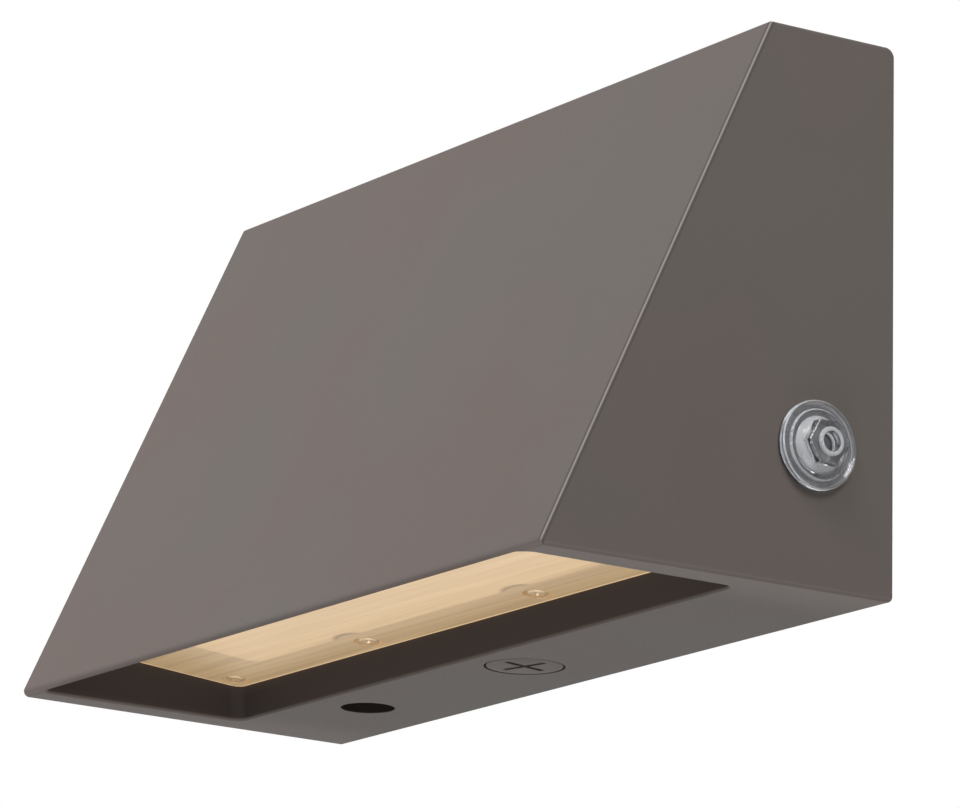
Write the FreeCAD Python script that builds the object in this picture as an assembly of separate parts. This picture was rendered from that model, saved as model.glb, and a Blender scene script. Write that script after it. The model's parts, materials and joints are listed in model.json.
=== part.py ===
import FreeCAD, Part
import math
import os

# Wall pack light: a die-cast wedge housing that hangs from a steel wall plate by two hinge pins,
# swings out from the bottom, and is held shut by a captive lock screw.
# X runs along the width, Y into the wall, Z up. Shapes are drawn with z = 0 at the housing's
# underside and y = 0 in the plane of the wall, then lowered so that the origin is the centre of
# the wall plate's fixing holes. A "depth" is a distance forward of the housing's rear rim.

V = FreeCAD.Vector

# ---- housing, outside ----
housing_width = 280.0
housing_height = 162.0
base_depth = 120.0
top_depth = 44.0
rim_gap = 1.5                 # rear rim stands this far off the wall
end_draft = math.radians(1.0)
wall = 2.8
floor_wall = 3.0
top_back_round = 3.0
bottom_back_round = 1.6
front_lip_round = 1.8
top_front_round = 1.3
side_round = 1.1
face_slope = (base_depth - top_depth) / housing_height
slope_cos = math.cos(math.atan(face_slope))

# ---- hinge ----
pivot_y = -8.7
pivot_z = housing_height - 6.5
pin_radius = 1.5
pin_play = 0.05
pin_reach = 4.5               # half length of a hinge pin
lug_hub = 3.2                 # radius of the housing's hinge lugs
hinge_x = 90.0
ear_thickness = 2.0
ear_hub = 2.8
lug_gap = 0.5
lug_thickness = 3.0
bay_depth = 14.0              # hinge bay, from the rim
bay_floor = 137.0
bay_roof = 3.2
ear_drop = 15.0               # the ear's lower edge, below the pins
ear_shoulder = 8.8            # where the ear narrows from the plate's top edge, below the pins
foot_width = 11.0             # bracket feet on the plate's face
foot_thickness = 1.5
lock_foot_top = 32.0
rivet_radius = 1.6
rivet_head = 2.8
rivet_height = 1.1

# ---- wall plate ----
plate_thickness = 2.0
plate_half = 136.0
plate_bottom = 4.0
plate_top = housing_height - 12.5
origin_height = 76.0
fixing_x = 224.0
fixing_z = 104.0
fixing_radius = 3.0
box_slot_spacing = 86.0       # pair of slots along X
box_slot_length = 14.0
short_slot_spacing = 70.0     # pair of slots along Z
short_slot_length = 9.0
box_slot_radius = 2.4
cable_hole = 11.0
grommet_bore = 7.0
seal_half_x = 60.5
seal_half_z = 51.0
seal_width = 8.0
seal_round = 16.0
seal_thickness = 1.5
seal_rib = 1.5                # metal on each side of the seal's channel
ground_x = 92.0
ground_z = 34.0
ground_radius = 2.0

# ---- gasket ledge round the rear opening ----
gasket_thickness = 3.0
ledge_face = -plate_thickness - gasket_thickness
ledge_thickness = 3.0
opening_half = 128.0
opening_bottom = 10.0
opening_top = 130.0
gasket_half = 135.2
gasket_low = 4.8
gasket_high = 135.6

# ---- lens recess and light chamber ----
aperture_half = 127.9
aperture_back = 46.3
aperture_front = 118.3
aperture_round = 4.0
recess_depth = 10.2           # at its back edge
recess_draft = 1.3
mouth_round = 0.9             # rounded edge where the recess opens in the underside
lip_draft = 0.2
lens_tilt = math.radians(5.0)  # the lens rises towards the front
lens_thickness = 3.0
lens_play = 0.3
lens_gasket_thickness = 1.2
seat_height = recess_depth + lens_thickness + lens_gasket_thickness
panel_half = 95.0             # raised panel on the lens's inner face
panel_notch = 9.6             # radius of its notches round the screws
panel_back = 63.0
panel_front = 98.6
chamber_half = 96.0
chamber_back = 58.7
chamber_front = 101.5
chamber_top = 26.0
lens_screw_x = (-118.8, -44.0, 44.0, 118.8)
lens_screw_back = 54.2
lens_screw_front = 105.6
lens_screw_radius = 1.6
lens_screw_head = 3.2
lens_screw_rise = 0.1         # the head's face lies this far inside the counterbore's mouth
lens_screw_head_height = 1.3
lens_screw_end = 9.8          # from the lens's lower face to the screw's tip
counterbore_radius = 4.4
counterbore_depth = 1.7
screw_boss = 6.5
outer_screw_boss = 5.4

# ---- stiffening ribs ----
rib_x = (-104.0, -52.0, 0.0, 52.0, 104.0)
rib_thickness = 2.0
rib_reach = 7.0
rib_low = 64.0
rib_run_in = 8.0              # height over which a rib grows from its foot to its full reach
rib_foot = 3.0

# ---- lock screw, conduit plug, light sensor ----
lock_x = -83.5
lock_depth = 28.1
lock_hole = 8.4
lock_shank = 2.5
lock_play = 0.1
lock_web = 9.8                # underside of the web that carries the lock screw
lock_head_low = 4.6
lock_head_high = 7.9
lock_head = 5.5
lock_socket = 5.0             # hexagon across its flats
lock_screw_end = 31.5
lock_nut_depth = 6.5          # half of the nut's size along Y
lug_half = 8.0
lug_inner = 138.0             # radii of the curved locking lug about the hinge axis
lug_outer = 140.0
plug_x = 0.0
plug_depth = 27.8
plug_head = 11.5
plug_recess = 12.15
plug_thread = 10.4
plug_play = 0.08
cross_half = 8.0
cross_width = 2.0
cross_turn = 13.0
cross_top = 1.4               # floor of the plug's cross slot
plug_face = 0.05
plug_head_top = 2.2
plug_end = 12.5
plug_hollow = 8.0
plug_hollow_from = 4.5
cell_depth = 28.1
cell_z = 40.6
cell_flange = 12.8
cell_neck = 7.9
cell_gasket = 0.9             # from the end face to the window's flange
cell_boss = 12.2              # hexagon across its flats
cell_stem = 4.2
cell_bore = 3.0
cell_nut = 21.0               # hexagon across its flats
cell_nut_start = 131.0
sensor_back = 123.0
sensor_radius = 5.6

# ---- light source ----
board_half = 93.0
board_back = 62.4
board_front = 98.2
pad_thickness = 0.8
board_thickness = 1.6
board_bottom = chamber_top - pad_thickness - board_thickness
board_screw_x = (-66.0, 0.0, 66.0)
board_screw_radius = 1.2
chip_rows = (71.0, 89.6)      # depths
chip_count = 14
chip_pitch = 12.0
chip_size = 3.0
chip_height = 0.8
grommet_x = 80.0
grommet_depth = 80.3

# ---- driver, terminals and leads ----
driver_x = (-85.0, 45.0)
driver_depth = (61.0, 89.0)
driver_bottom = chamber_top + wall + 0.2
driver_top = 55.0
driver_ear_z = 35.0
driver_ear = 1.5
driver_screw_x = (-91.0, 51.0)
driver_screw_depth = 75.0
driver_screw_radius = 1.6
block_x = (-128.0, -110.0)
block_depth = (60.0, 90.0)
block_base = 21.0             # flat pads on the sloping pan carry the block and the earth screw
block_pad_edge = 0.6          # the block's pad is this much larger all round
block_top = block_base + 20.0
block_entry = block_base + 9.3
block_ways = (65.0, 75.0, 85.0)
block_screw_x = -119.0
block_screw_depth = 80.0
earth_x = -104.3
earth_depth = 57.0
small_screw_radius = 1.5
small_boss = 4.5
lead_radius = 0.9


# ---------------------------------------------------------------- helpers

def at_depth(depth):
    """Y of a point that lies this far forward of the rear rim."""
    return -(rim_gap + depth)


def slope_y(z, inset=0.0):
    """Y of the sloping front face at height z, moved inwards by inset."""
    return at_depth(base_depth) + face_slope * z + inset / slope_cos


def end_x(y, inset=0.0):
    """Half width of the housing at y, where its end faces taper towards the front."""
    return housing_width / 2 - (-y - rim_gap) * math.tan(end_draft) - inset


def box(x0, x1, y0, y1, z0, z1):
    return Part.makeBox(x1 - x0, y1 - y0, z1 - z0, V(x0, y0, z0))


def rod(start, end, radius):
    """Cylinder from one point to another."""
    first = V(*start)
    along = V(*end) - first
    return Part.makeCylinder(radius, along.Length, first, along)


def tube(start, end, outer, inner):
    return rod(start, end, outer).cut(rod(start, end, inner))


def prism(points, along):
    """Closed polygon pushed along a direction."""
    corners = [V(*point) for point in points]
    return Part.Face(Part.makePolygon(corners + corners[:1])).extrude(V(*along))


def edges_along(shape, direction):
    """Straight edges parallel to a direction."""
    found = []
    for edge in shape.Edges:
        line = edge.Vertexes[-1].Point - edge.Vertexes[0].Point
        if line.Length > 1e-6 and line.getAngle(V(*direction)) % math.pi < 1e-4:
            found.append(edge)
    return found


def rounded_box(x0, x1, y0, y1, z0, z1, radius, direction):
    """Box whose four edges along one direction are rounded."""
    block = box(x0, x1, y0, y1, z0, z1)
    return block.makeFillet(radius, edges_along(block, direction))


def rounded_outline(half, front, back, z, radius):
    """Level rectangle with rounded corners, from x = -half to half."""
    corners = [(-half, front), (half, front), (half, back), (-half, back)]
    inward = [(1, 1), (-1, 1), (-1, -1), (1, -1)]
    edges = []
    for index in range(4):
        x, y = corners[index]
        next_x, next_y = corners[(index + 1) % 4]
        step_x, step_y = inward[index]
        next_step_x, next_step_y = inward[(index + 1) % 4]
        along_x = index % 2 == 0
        if along_x:
            line = (V(x + step_x * radius, y, z), V(next_x + next_step_x * radius, y, z))
        else:
            line = (V(x, y + step_y * radius, z), V(x, next_y + next_step_y * radius, z))
        edges.append(Part.LineSegment(*line).toShape())
        centre = V(next_x + next_step_x * radius, next_y + next_step_y * radius, z)
        middle = centre - V(next_step_x, next_step_y, 0) * (radius / math.sqrt(2))
        if along_x:
            end = V(next_x, next_y + next_step_y * radius, z)
        else:
            end = V(next_x + next_step_x * radius, next_y, z)
        edges.append(Part.Arc(line[1], middle, end).toShape())
    return Part.Wire(edges)


def fuse_all(shapes):
    joined = shapes[0]
    for shape in shapes[1:]:
        joined = joined.fuse(shape)
    return joined.removeSplitter()


def cross_slot(x, y, z0, z1, half, width, turn=0.0):
    """Two crossed bars, used to cut a driver slot."""
    bars = box(-half, half, -width / 2, width / 2, z0, z1).fuse(
        box(-width / 2, width / 2, -half, half, z0, z1))
    bars.rotate(V(0, 0, 0), V(0, 0, 1), turn)
    bars.translate(V(x, y, 0))
    return bars


def hexagon(centre, across, direction, length):
    """Hexagonal prism along +X or +Z."""
    radius = across / math.sqrt(3)
    corners = []
    for index in range(6):
        angle = math.radians(60 * index)
        first, second = radius * math.cos(angle), radius * math.sin(angle)
        if direction == "x":
            corners.append((centre[0], centre[1] + first, centre[2] + second))
        else:
            corners.append((centre[0] + first, centre[1] + second, centre[2]))
    along = (length, 0, 0) if direction == "x" else (0, 0, length)
    return prism(corners, along)


def lead(points, radius):
    """Round wire along straight runs joined by tangent arcs."""
    route = [V(*point) for point in points]
    edges = []
    start = route[0]
    for index in range(1, len(route) - 1):
        corner = route[index]
        back, ahead = route[index - 1] - corner, route[index + 1] - corner
        reach = 0.45 * min(back.Length, ahead.Length)
        back.normalize()
        ahead.normalize()
        enter, leave = corner + back * reach, corner + ahead * reach
        half = back.getAngle(ahead) / 2
        bend = reach * math.tan(half)
        middle_way = back + ahead
        middle_way.normalize()
        middle = corner + middle_way * (bend / math.sin(half) - bend)
        edges.append(Part.LineSegment(start, enter).toShape())
        edges.append(Part.Arc(enter, middle, leave).toShape())
        start = leave
    edges.append(Part.LineSegment(start, route[-1]).toShape())
    path = Part.Wire(edges)
    section = Part.Wire(Part.makeCircle(radius, route[0], route[1] - route[0]))
    return path.makePipeShell([section], True, False)


# ---------------------------------------------------------------- wall plate and what it carries

def hinge_ear(x):
    """Steel ear that carries a hinge pin in a notch open at the top."""
    near_plate = -plate_thickness - pivot_y
    outline = [(-ear_hub, 0), (-ear_hub, -ear_drop), (near_plate, -ear_drop),
               (near_plate, -ear_shoulder), (pin_radius, -ear_shoulder), (pin_radius, -1.0),
               (ear_hub - 0.4, 0)]
    points = [(x - ear_thickness / 2, pivot_y + y, pivot_z + z) for y, z in outline]
    ear = prism(points, (ear_thickness, 0, 0))
    hub = rod((x - ear_thickness / 2, pivot_y, pivot_z), (x + ear_thickness / 2, pivot_y, pivot_z),
              ear_hub)
    notch_radius = pin_radius + pin_play
    notch = rod((x - 5, pivot_y, pivot_z), (x + 5, pivot_y, pivot_z), notch_radius).fuse(
        box(x - 5, x + 5, pivot_y - notch_radius, pivot_y + notch_radius, pivot_z, pivot_z + 5))
    return ear.fuse(hub).cut(notch)


def plate_hole(x, z, radius):
    """Cutter for a hole through the wall plate and what lies flat on it."""
    return rod((x, 1.0, z), (x, -5.0, z), radius)


def bracket_foot(x0, x1, z0, z1):
    """Part of a bracket that lies flat on the plate's face."""
    return box(x0, x1, -plate_thickness - foot_thickness, -plate_thickness, z0, z1)


def hinge_rivet_places():
    middle = pivot_z - (ear_drop + ear_shoulder) / 2
    return [(sign * (hinge_x - foot_width / 2 - 1), middle) for sign in (-1, 1)]


def lock_rivet_places():
    return [(lock_x + sign * lug_half / 2, lock_foot_top - 6.0) for sign in (-1, 1)]


def rivet(x, z):
    """Rivet through a bracket's foot and the plate, its shop head flush with the rear face."""
    front = -plate_thickness - foot_thickness
    shank = rod((x, 0, z), (x, front - 0.1, z), rivet_radius)
    head = rod((x, front, z), (x, front - rivet_height, z), rivet_head)
    rim = [edge for edge in head.Edges if edge.CenterOfMass.y < front - rivet_height + 0.01]
    return shank.fuse(head.makeFillet(rivet_height * 0.7, rim)).removeSplitter()


def bracket_rivets():
    return Part.makeCompound([rivet(x, z) for x, z in hinge_rivet_places() + lock_rivet_places()])


def hinge_brackets():
    """Two brackets riveted to the plate, one for each hinge pin."""
    brackets = []
    for x, (rivet_x, rivet_z) in zip((-hinge_x, hinge_x), hinge_rivet_places()):
        inner = x - math.copysign(foot_width + ear_thickness / 2, x)
        outer = x + math.copysign(ear_thickness / 2, x)
        x0, x1 = sorted((inner, outer))
        foot = bracket_foot(x0, x1, pivot_z - ear_drop, pivot_z - ear_shoulder)
        bracket = hinge_ear(x).fuse(foot).removeSplitter()
        brackets.append(bracket.cut(plate_hole(rivet_x, rivet_z, rivet_radius)))
    return Part.makeCompound(brackets)


def swing_ring(inner, outer, x0, x1):
    """Ring about the hinge axis."""
    return tube((x0, pivot_y, pivot_z), (x1, pivot_y, pivot_z), outer, inner)


def lock_bracket():
    """Riveted bracket with a curved tongue under the lock nut, slotted so that the screw can
    swing out forwards."""
    lock_y = at_depth(lock_depth)
    front = lock_y - lock_nut_depth
    x0, x1 = lock_x - lug_half, lock_x + lug_half
    tongue = swing_ring(lug_inner, lug_outer, x0, x1).common(
        box(x0, x1, front, -plate_thickness, 0, 40))
    low = pivot_z - math.sqrt(lug_outer ** 2 - (pivot_y + plate_thickness) ** 2)
    slot_half = lock_shank + 0.5
    slot = rod((lock_x, lock_y, 0), (lock_x, lock_y, 40), slot_half).fuse(
        box(lock_x - slot_half, lock_x + slot_half, front - 1, lock_y, 0, 40))
    bracket = tongue.fuse(bracket_foot(x0, x1, low, lock_foot_top)).removeSplitter().cut(slot)
    for x, z in lock_rivet_places():
        bracket = bracket.cut(plate_hole(x, z, rivet_radius))
    return bracket


def box_slot(x, z, length, along_x):
    """Slot for a screw of the box behind the plate."""
    reach = length / 2 - box_slot_radius
    step = V(reach, 0, 0) if along_x else V(0, 0, reach)
    ends = []
    for sign in (-1, 1):
        place = V(x, 1, z) + step * sign
        ends.append(Part.makeCylinder(box_slot_radius, 4, place, V(0, -1, 0)))
    half_x = reach if along_x else box_slot_radius
    half_z = box_slot_radius if along_x else reach
    return fuse_all(ends + [box(x - half_x, x + half_x, -3, 1, z - half_z, z + half_z)])


def seal_frame(grow, y0, y1):
    """Rounded frame where the wall seal lies, grown on both sides of its band."""
    outer_x, outer_z = seal_half_x + grow, seal_half_z + grow
    inner_x, inner_z = outer_x - seal_width - 2 * grow, outer_z - seal_width - 2 * grow
    outer = rounded_box(-outer_x, outer_x, y0, y1, origin_height - outer_z,
                        origin_height + outer_z, seal_round + grow, (0, 1, 0))
    inner = rounded_box(-inner_x, inner_x, y0 - 1, y1 + 1, origin_height - inner_z,
                        origin_height + inner_z, seal_round - seal_width - grow, (0, 1, 0))
    return outer.cut(inner)


def wall_plate():
    plate = rounded_box(-plate_half, plate_half, -plate_thickness, 0, plate_bottom, plate_top,
                        5.0, (0, 1, 0))
    rib = seal_frame(seal_rib, -plate_thickness - seal_thickness, 0)
    channel = seal_frame(0, -seal_thickness, 1)
    plate = plate.fuse(rib).cut(channel)
    plate = plate.cut(plate_hole(0, origin_height, cable_hole))
    for sign in (-1, 1):
        plate = plate.cut(box_slot(sign * box_slot_spacing / 2, origin_height,
                                   box_slot_length, True))
        plate = plate.cut(box_slot(0, origin_height + sign * short_slot_spacing / 2,
                                   short_slot_length, False))
        for up in (-1, 1):
            plate = plate.cut(plate_hole(sign * fixing_x / 2, origin_height + up * fixing_z / 2,
                                         fixing_radius))
    plate = plate.cut(plate_hole(ground_x, ground_z, ground_radius))
    for x, z in hinge_rivet_places() + lock_rivet_places():
        plate = plate.cut(plate_hole(x, z, rivet_radius))
    return plate.removeSplitter()


def wall_seal():
    """Foam frame in the plate's rear channel, flush with the wall."""
    return seal_frame(-0.3, -seal_thickness, 0)


def cable_grommet():
    """Rubber bush that grips the rim of the cable hole."""
    lip = cable_hole + 3.0
    body = rod((0, -6.0, origin_height), (0, -0.2, origin_height), cable_hole)
    front_lip = rod((0, -4.2, origin_height), (0, -plate_thickness, origin_height), lip)
    bore = rod((0, -7, origin_height), (0, 1, origin_height), grommet_bore)
    taper = Part.makeCone(grommet_bore + 2.0, grommet_bore, 2.0, V(0, -6.0, origin_height),
                          V(0, 1, 0))
    return body.fuse(front_lip).cut(bore).cut(taper)


def ground_screw():
    """Screw for the supply's earth wire, with its cupped washer."""
    shank = rod((ground_x, -0.1, ground_z), (ground_x, -5.0, ground_z), ground_radius - 0.02)
    washer = rod((ground_x, -plate_thickness, ground_z), (ground_x, -3.0, ground_z), 5.5)
    head = hexagon((0, 0, 0), 8.0, "z", 3.5)
    head = head.cut(cross_slot(0, 0, 2.0, 4.0, 3.2, 1.0))
    head.rotate(V(0, 0, 0), V(1, 0, 0), 90)
    head.translate(V(ground_x, -3.0, ground_z))
    return fuse_all([shank, washer, head])


# ---------------------------------------------------------------- housing casting

def wedge(inset, low, high, back, front_inset):
    """Wedge with drafted ends: side profile and plan view, both moved in by an inset."""
    side = [(-200, back, low), (-200, slope_y(low, front_inset), low),
            (-200, slope_y(high, front_inset), high), (-200, back, high)]
    ahead = -300.0
    plan = [(-end_x(back, inset), back, -10), (end_x(back, inset), back, -10),
            (end_x(ahead, inset), ahead, -10), (-end_x(ahead, inset), ahead, -10)]
    return prism(side, (400, 0, 0)).common(prism(plan, (0, 0, housing_height + 20)))


def on_line(edge, y, z):
    point = edge.CenterOfMass
    return abs(point.y - y) < 0.01 and abs(point.z - z) < 0.01


def outer_wedge():
    """Outside of the housing with its rounded edges."""
    body = wedge(0, 0, housing_height, -rim_gap, 0)
    rounds = [(-rim_gap, housing_height, top_back_round), (-rim_gap, 0, bottom_back_round),
              (slope_y(0), 0, front_lip_round), (slope_y(housing_height), housing_height,
                                                 top_front_round)]
    for y, z, radius in rounds:
        chosen = [edge for edge in body.Edges if on_line(edge, y, z)]
        body = body.makeFillet(radius, chosen)
    for sign in (-1, 1):
        end_face = max(body.Faces, key=lambda face: sign * face.CenterOfMass.x)
        body = body.makeFillet(side_round, end_face.Edges)
    return body


recess_back = at_depth(aperture_back + recess_draft)


def tilted(shape):
    """Turns what is drawn level to the lens's tilt, about the back edge of its recess."""
    turned = shape.copy()
    turned.rotate(V(0, recess_back, recess_depth), V(1, 0, 0), -math.degrees(lens_tilt))
    return turned


def lens_rise(y):
    """How much higher the tilted lens lies at y than at its back edge."""
    return (recess_back - y) * math.tan(lens_tilt)


def level_front():
    """Front edge of the recess in the level drawing, a lip's thickness inside the slope."""
    lip = base_depth - aperture_front + lip_draft
    lean = face_slope * math.tan(lens_tilt)
    front = (slope_y(recess_depth) + lip + lean * recess_back) / (1 + lean)
    return recess_back + (front - recess_back) / math.cos(lens_tilt)


def recess():
    """Tapered recess below the lens with a rounded mouth, then the seat that the lens slips into."""
    mouth_z = -0.02
    low = rounded_outline(aperture_half, at_depth(aperture_front), at_depth(aperture_back),
                          mouth_z, aperture_round)
    high = tilted(rounded_outline(aperture_half - recess_draft, level_front(), recess_back,
                                  recess_depth, aperture_round))
    taper = Part.makeLoft([low, high], True, True)
    mouth = Part.Face(rounded_outline(aperture_half + 2, at_depth(aperture_front + 2),
                                      at_depth(aperture_back - 2), mouth_z,
                                      aperture_round + 2)).extrude(V(0, 0, -5))
    flared = taper.fuse(mouth)
    corner = [edge for edge in flared.Edges if abs(edge.BoundBox.ZMin - mouth_z) < 1e-4
              and abs(edge.BoundBox.ZMax - mouth_z) < 1e-4
              and edge.BoundBox.XMax < aperture_half + 1 and edge.BoundBox.XMin > -aperture_half - 1
              and edge.BoundBox.YMin > at_depth(aperture_front + 1)
              and edge.BoundBox.YMax < at_depth(aperture_back - 1)]
    flared = flared.makeFillet(mouth_round, corner)
    normal = V(0, math.sin(lens_tilt), math.cos(lens_tilt))
    seat = Part.Face(high).extrude(normal * (seat_height - recess_depth))
    return flared.fuse(seat)


def screw_places():
    """Centres of the eight lens screws in the level drawing."""
    places = []
    for x in lens_screw_x:
        for depth in (lens_screw_back, lens_screw_front):
            places.append((x, at_depth(depth)))
    return places


def chamber():
    """Light chamber above the lens, notched round the screw bosses."""
    space = rounded_box(-chamber_half, chamber_half, at_depth(chamber_front),
                        at_depth(chamber_back), seat_height - 1, chamber_top, 4.0, (0, 0, 1))
    for x, y in screw_places():
        space = space.cut(rod((x, y, 0), (x, y, 40), screw_boss))
    return space


def pan_top(y):
    """Inside of the metal above the lens's seat."""
    return seat_height + wall + lens_rise(y)


def light_pan():
    """Metal round the recess and the chamber, on the inside of the casting."""
    half, back, ahead = aperture_half + wall, at_depth(aperture_back - wall), -150.0
    lower = prism([(-half, back, 0), (-half, ahead, 0), (-half, ahead, pan_top(ahead)),
                   (-half, back, pan_top(back))], (2 * half, 0, 0))
    upper = rounded_box(-chamber_half - wall, chamber_half + wall, ahead,
                        at_depth(chamber_back - wall), 0, chamber_top + wall, 4.0, (0, 0, 1))
    pan = [lower, upper]
    for x, y in screw_places():
        if abs(x) < chamber_half:
            pan.append(rod((x, y, 0), (x, y, chamber_top + wall), screw_boss))
        else:
            pan.append(rod((x, y, 0), (x, y, seat_height + 9.0 + lens_rise(y)),
                           outer_screw_boss))
    for x in driver_screw_x:
        y = at_depth(driver_screw_depth)
        pan.append(rod((x, y, 10), (x, y, driver_ear_z), small_boss))
    pan.append(box(block_x[0] - block_pad_edge, block_x[1] + block_pad_edge,
                   at_depth(block_depth[1] + block_pad_edge),
                   at_depth(block_depth[0] - block_pad_edge), 10, block_base))
    x, y = earth_screw_place()
    pan.append(rod((x, y, 10), (x, y, block_base), small_boss))
    return fuse_all(pan)


def bottom_bosses():
    """Bosses on the floor for the lock screw and the conduit plug, and the lock nut's guides."""
    lock_y, plug_y = at_depth(lock_depth), at_depth(plug_depth)
    neck = rod((lock_x, lock_y, 10), (lock_x, lock_y, 25), 7.0).cut(
        rod((lock_x - 20, pivot_y, pivot_z), (lock_x + 20, pivot_y, pivot_z), lug_outer + 0.1))
    bosses = [rod((lock_x, lock_y, 1), (lock_x, lock_y, lock_web + 2.4), lock_hole + 2.6), neck,
              rod((plug_x, plug_y, 1), (plug_x, plug_y, 14), plug_recess + 2.4)]
    for sign in (-1, 1):
        near, far = lug_half + 0.5, lug_half + 3.0
        x0, x1 = sorted((lock_x + sign * near, lock_x + sign * far))
        bosses.append(box(x0, x1, lock_y - lock_nut_depth - 0.5, lock_y + lock_nut_depth + 0.5,
                          1, 31))
    return bosses


def hinge_lugs():
    """Pairs of lugs in the hinge bay that hold the hinge pins."""
    lugs = []
    near = ear_thickness / 2 + lug_gap
    for centre in (-hinge_x, hinge_x):
        for sign in (-1, 1):
            x0, x1 = sorted((centre + sign * near, centre + sign * (near + lug_thickness)))
            hub = rod((x0, pivot_y, pivot_z), (x1, pivot_y, pivot_z), lug_hub)
            stem = box(x0, x1, pivot_y - lug_hub, pivot_y + lug_hub, pivot_z,
                       housing_height - bay_roof)
            lugs.append(hub.fuse(stem).removeSplitter())
    return lugs


def stiffening_ribs():
    """Upright ribs on the inside of the sloping face, above the driver."""
    ribs = []
    full = rib_low + rib_run_in
    outline = [(slope_y(rib_low), rib_low), (slope_y(rib_low) + rib_foot, rib_low),
               (slope_y(full) + rib_reach, full), (slope_y(bay_floor) + rib_reach, bay_floor),
               (slope_y(bay_floor), bay_floor)]
    for x in rib_x:
        points = [(x - rib_thickness / 2, y, z) for y, z in outline]
        ribs.append(prism(points, (rib_thickness, 0, 0)))
    return ribs


def interior():
    """Sealed space inside the casting, without its webs, ribs, pan and bosses."""
    space = wedge(wall, floor_wall, housing_height - wall, ledge_face - ledge_thickness, wall)
    space = space.cut(box(-200, 200, at_depth(bay_depth + wall), 0, bay_floor - wall, 200))
    for rib in stiffening_ribs():
        space = space.cut(rib)
    return space


def housing(outer):
    """Die-cast housing."""
    hollow = interior().cut(light_pan())
    for boss in bottom_bosses():
        hollow = hollow.cut(boss)
    opening = rounded_box(-opening_half, opening_half, ledge_face - ledge_thickness - 1, 1,
                          opening_bottom, opening_top, 4.0, (0, 1, 0))
    plate_room = wedge(wall, floor_wall, bay_floor, 1, wall).common(
        box(-200, 200, ledge_face, 1, 0, 200))
    bay = wedge(wall, bay_floor - 0.5, housing_height - bay_roof, 1, wall).common(
        box(-200, 200, at_depth(bay_depth), 1, 0, 200)).common(
        box(-200, 200, -60, 1, bay_floor, 200))
    shell = outer.cut(hollow).cut(opening).cut(plate_room).cut(bay)
    shell = fuse_all([shell] + hinge_lugs())
    shell = shell.cut(recess()).cut(chamber())
    for x, y in screw_places():
        shell = shell.cut(tilted(rod((x, y, 0), (x, y, recess_depth + lens_screw_end + 0.5),
                                     lens_screw_radius)))
    lock_y, plug_y, cell_y = at_depth(lock_depth), at_depth(plug_depth), at_depth(cell_depth)
    shell = shell.cut(rod((lock_x, lock_y, -1), (lock_x, lock_y, lock_web), lock_hole))
    shell = shell.cut(rod((lock_x, lock_y, 0), (lock_x, lock_y, 30), lock_shank + lock_play))
    shell = shell.cut(rod((plug_x, plug_y, -1), (plug_x, plug_y, 3.7), plug_recess))
    shell = shell.cut(rod((plug_x, plug_y, 0), (plug_x, plug_y, 30), plug_thread + plug_play))
    shell = shell.cut(rod((120, cell_y, cell_z), (160, cell_y, cell_z), cell_neck + 0.3))
    for x in (-hinge_x, hinge_x):
        shell = shell.cut(rod((x - pin_reach, pivot_y, pivot_z), (x + pin_reach, pivot_y, pivot_z),
                              pin_radius))
    for x in driver_screw_x:
        y = at_depth(driver_screw_depth)
        shell = shell.cut(rod((x, y, driver_ear_z - 5), (x, y, driver_ear_z + 1),
                              driver_screw_radius))
    for x, y in [block_screw_place(), earth_screw_place()]:
        shell = shell.cut(rod((x, y, small_screw_end(y) - 0.1), (x, y, 40), small_screw_radius))
    for x, y in board_screw_places():
        shell = shell.cut(rod((x, y, chamber_top - 1), (x, y, chamber_top + 1.8),
                              board_screw_radius))
    x, y = web_grommet_place()
    shell = shell.cut(rod((x, y, chamber_top - 1), (x, y, 40), 4.0))
    return shell


def hinge_pins():
    """Two steel pins pressed into the housing's lugs."""
    pins = []
    for x in (-hinge_x, hinge_x):
        pins.append(rod((x - pin_reach, pivot_y, pivot_z), (x + pin_reach, pivot_y, pivot_z),
                        pin_radius))
    return Part.makeCompound(pins)


def rim_gasket():
    """Foam frame on the ledge that seals the housing against the wall plate."""
    outer = rounded_box(-gasket_half, gasket_half, ledge_face, -plate_thickness, gasket_low,
                        gasket_high, 6.0, (0, 1, 0))
    inner = rounded_box(-opening_half - 0.6, opening_half + 0.6, ledge_face - 1, 0,
                        opening_bottom + 0.6, opening_top + 0.4, 3.5, (0, 1, 0))
    return outer.cut(inner)


# ---------------------------------------------------------------- lens and light source

def lens_outline(inset, z):
    half = aperture_half - recess_draft - inset
    return rounded_outline(half, level_front() + inset, recess_back - inset, z,
                           aperture_round - inset)


def lens():
    """Diffusing lens: flange with counterbored holes, and a notched panel on its inner face."""
    plate = Part.Face(lens_outline(lens_play, recess_depth)).extrude(V(0, 0, lens_thickness))
    panel = rounded_box(-panel_half, panel_half, at_depth(panel_front), at_depth(panel_back),
                        recess_depth + lens_thickness - 0.5, seat_height, 3.0, (0, 0, 1))
    for x, y in screw_places():
        panel = panel.cut(rod((x, y, 0), (x, y, 40), panel_notch))
    shape = plate.fuse(panel).removeSplitter()
    for x, y in screw_places():
        shape = shape.cut(rod((x, y, 0), (x, y, 20), lens_screw_radius + lens_play))
        shape = shape.cut(rod((x, y, 0), (x, y, recess_depth + counterbore_depth),
                              counterbore_radius))
    return tilted(shape)


def lens_gasket():
    """Silicone frame between the lens and its seat."""
    z0 = recess_depth + lens_thickness
    plate = Part.Face(lens_outline(0.8, z0)).extrude(V(0, 0, lens_gasket_thickness))
    window = rounded_box(-chamber_half - 1, chamber_half + 1, at_depth(chamber_front + lens_play),
                         at_depth(chamber_back - 0.1), z0 - 1, seat_height + 1, 4.0, (0, 0, 1))
    shape = plate.cut(window)
    for x, y in screw_places():
        shape = shape.cut(rod((x, y, 0), (x, y, 20), lens_screw_radius + lens_play))
    return tilted(shape)


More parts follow.
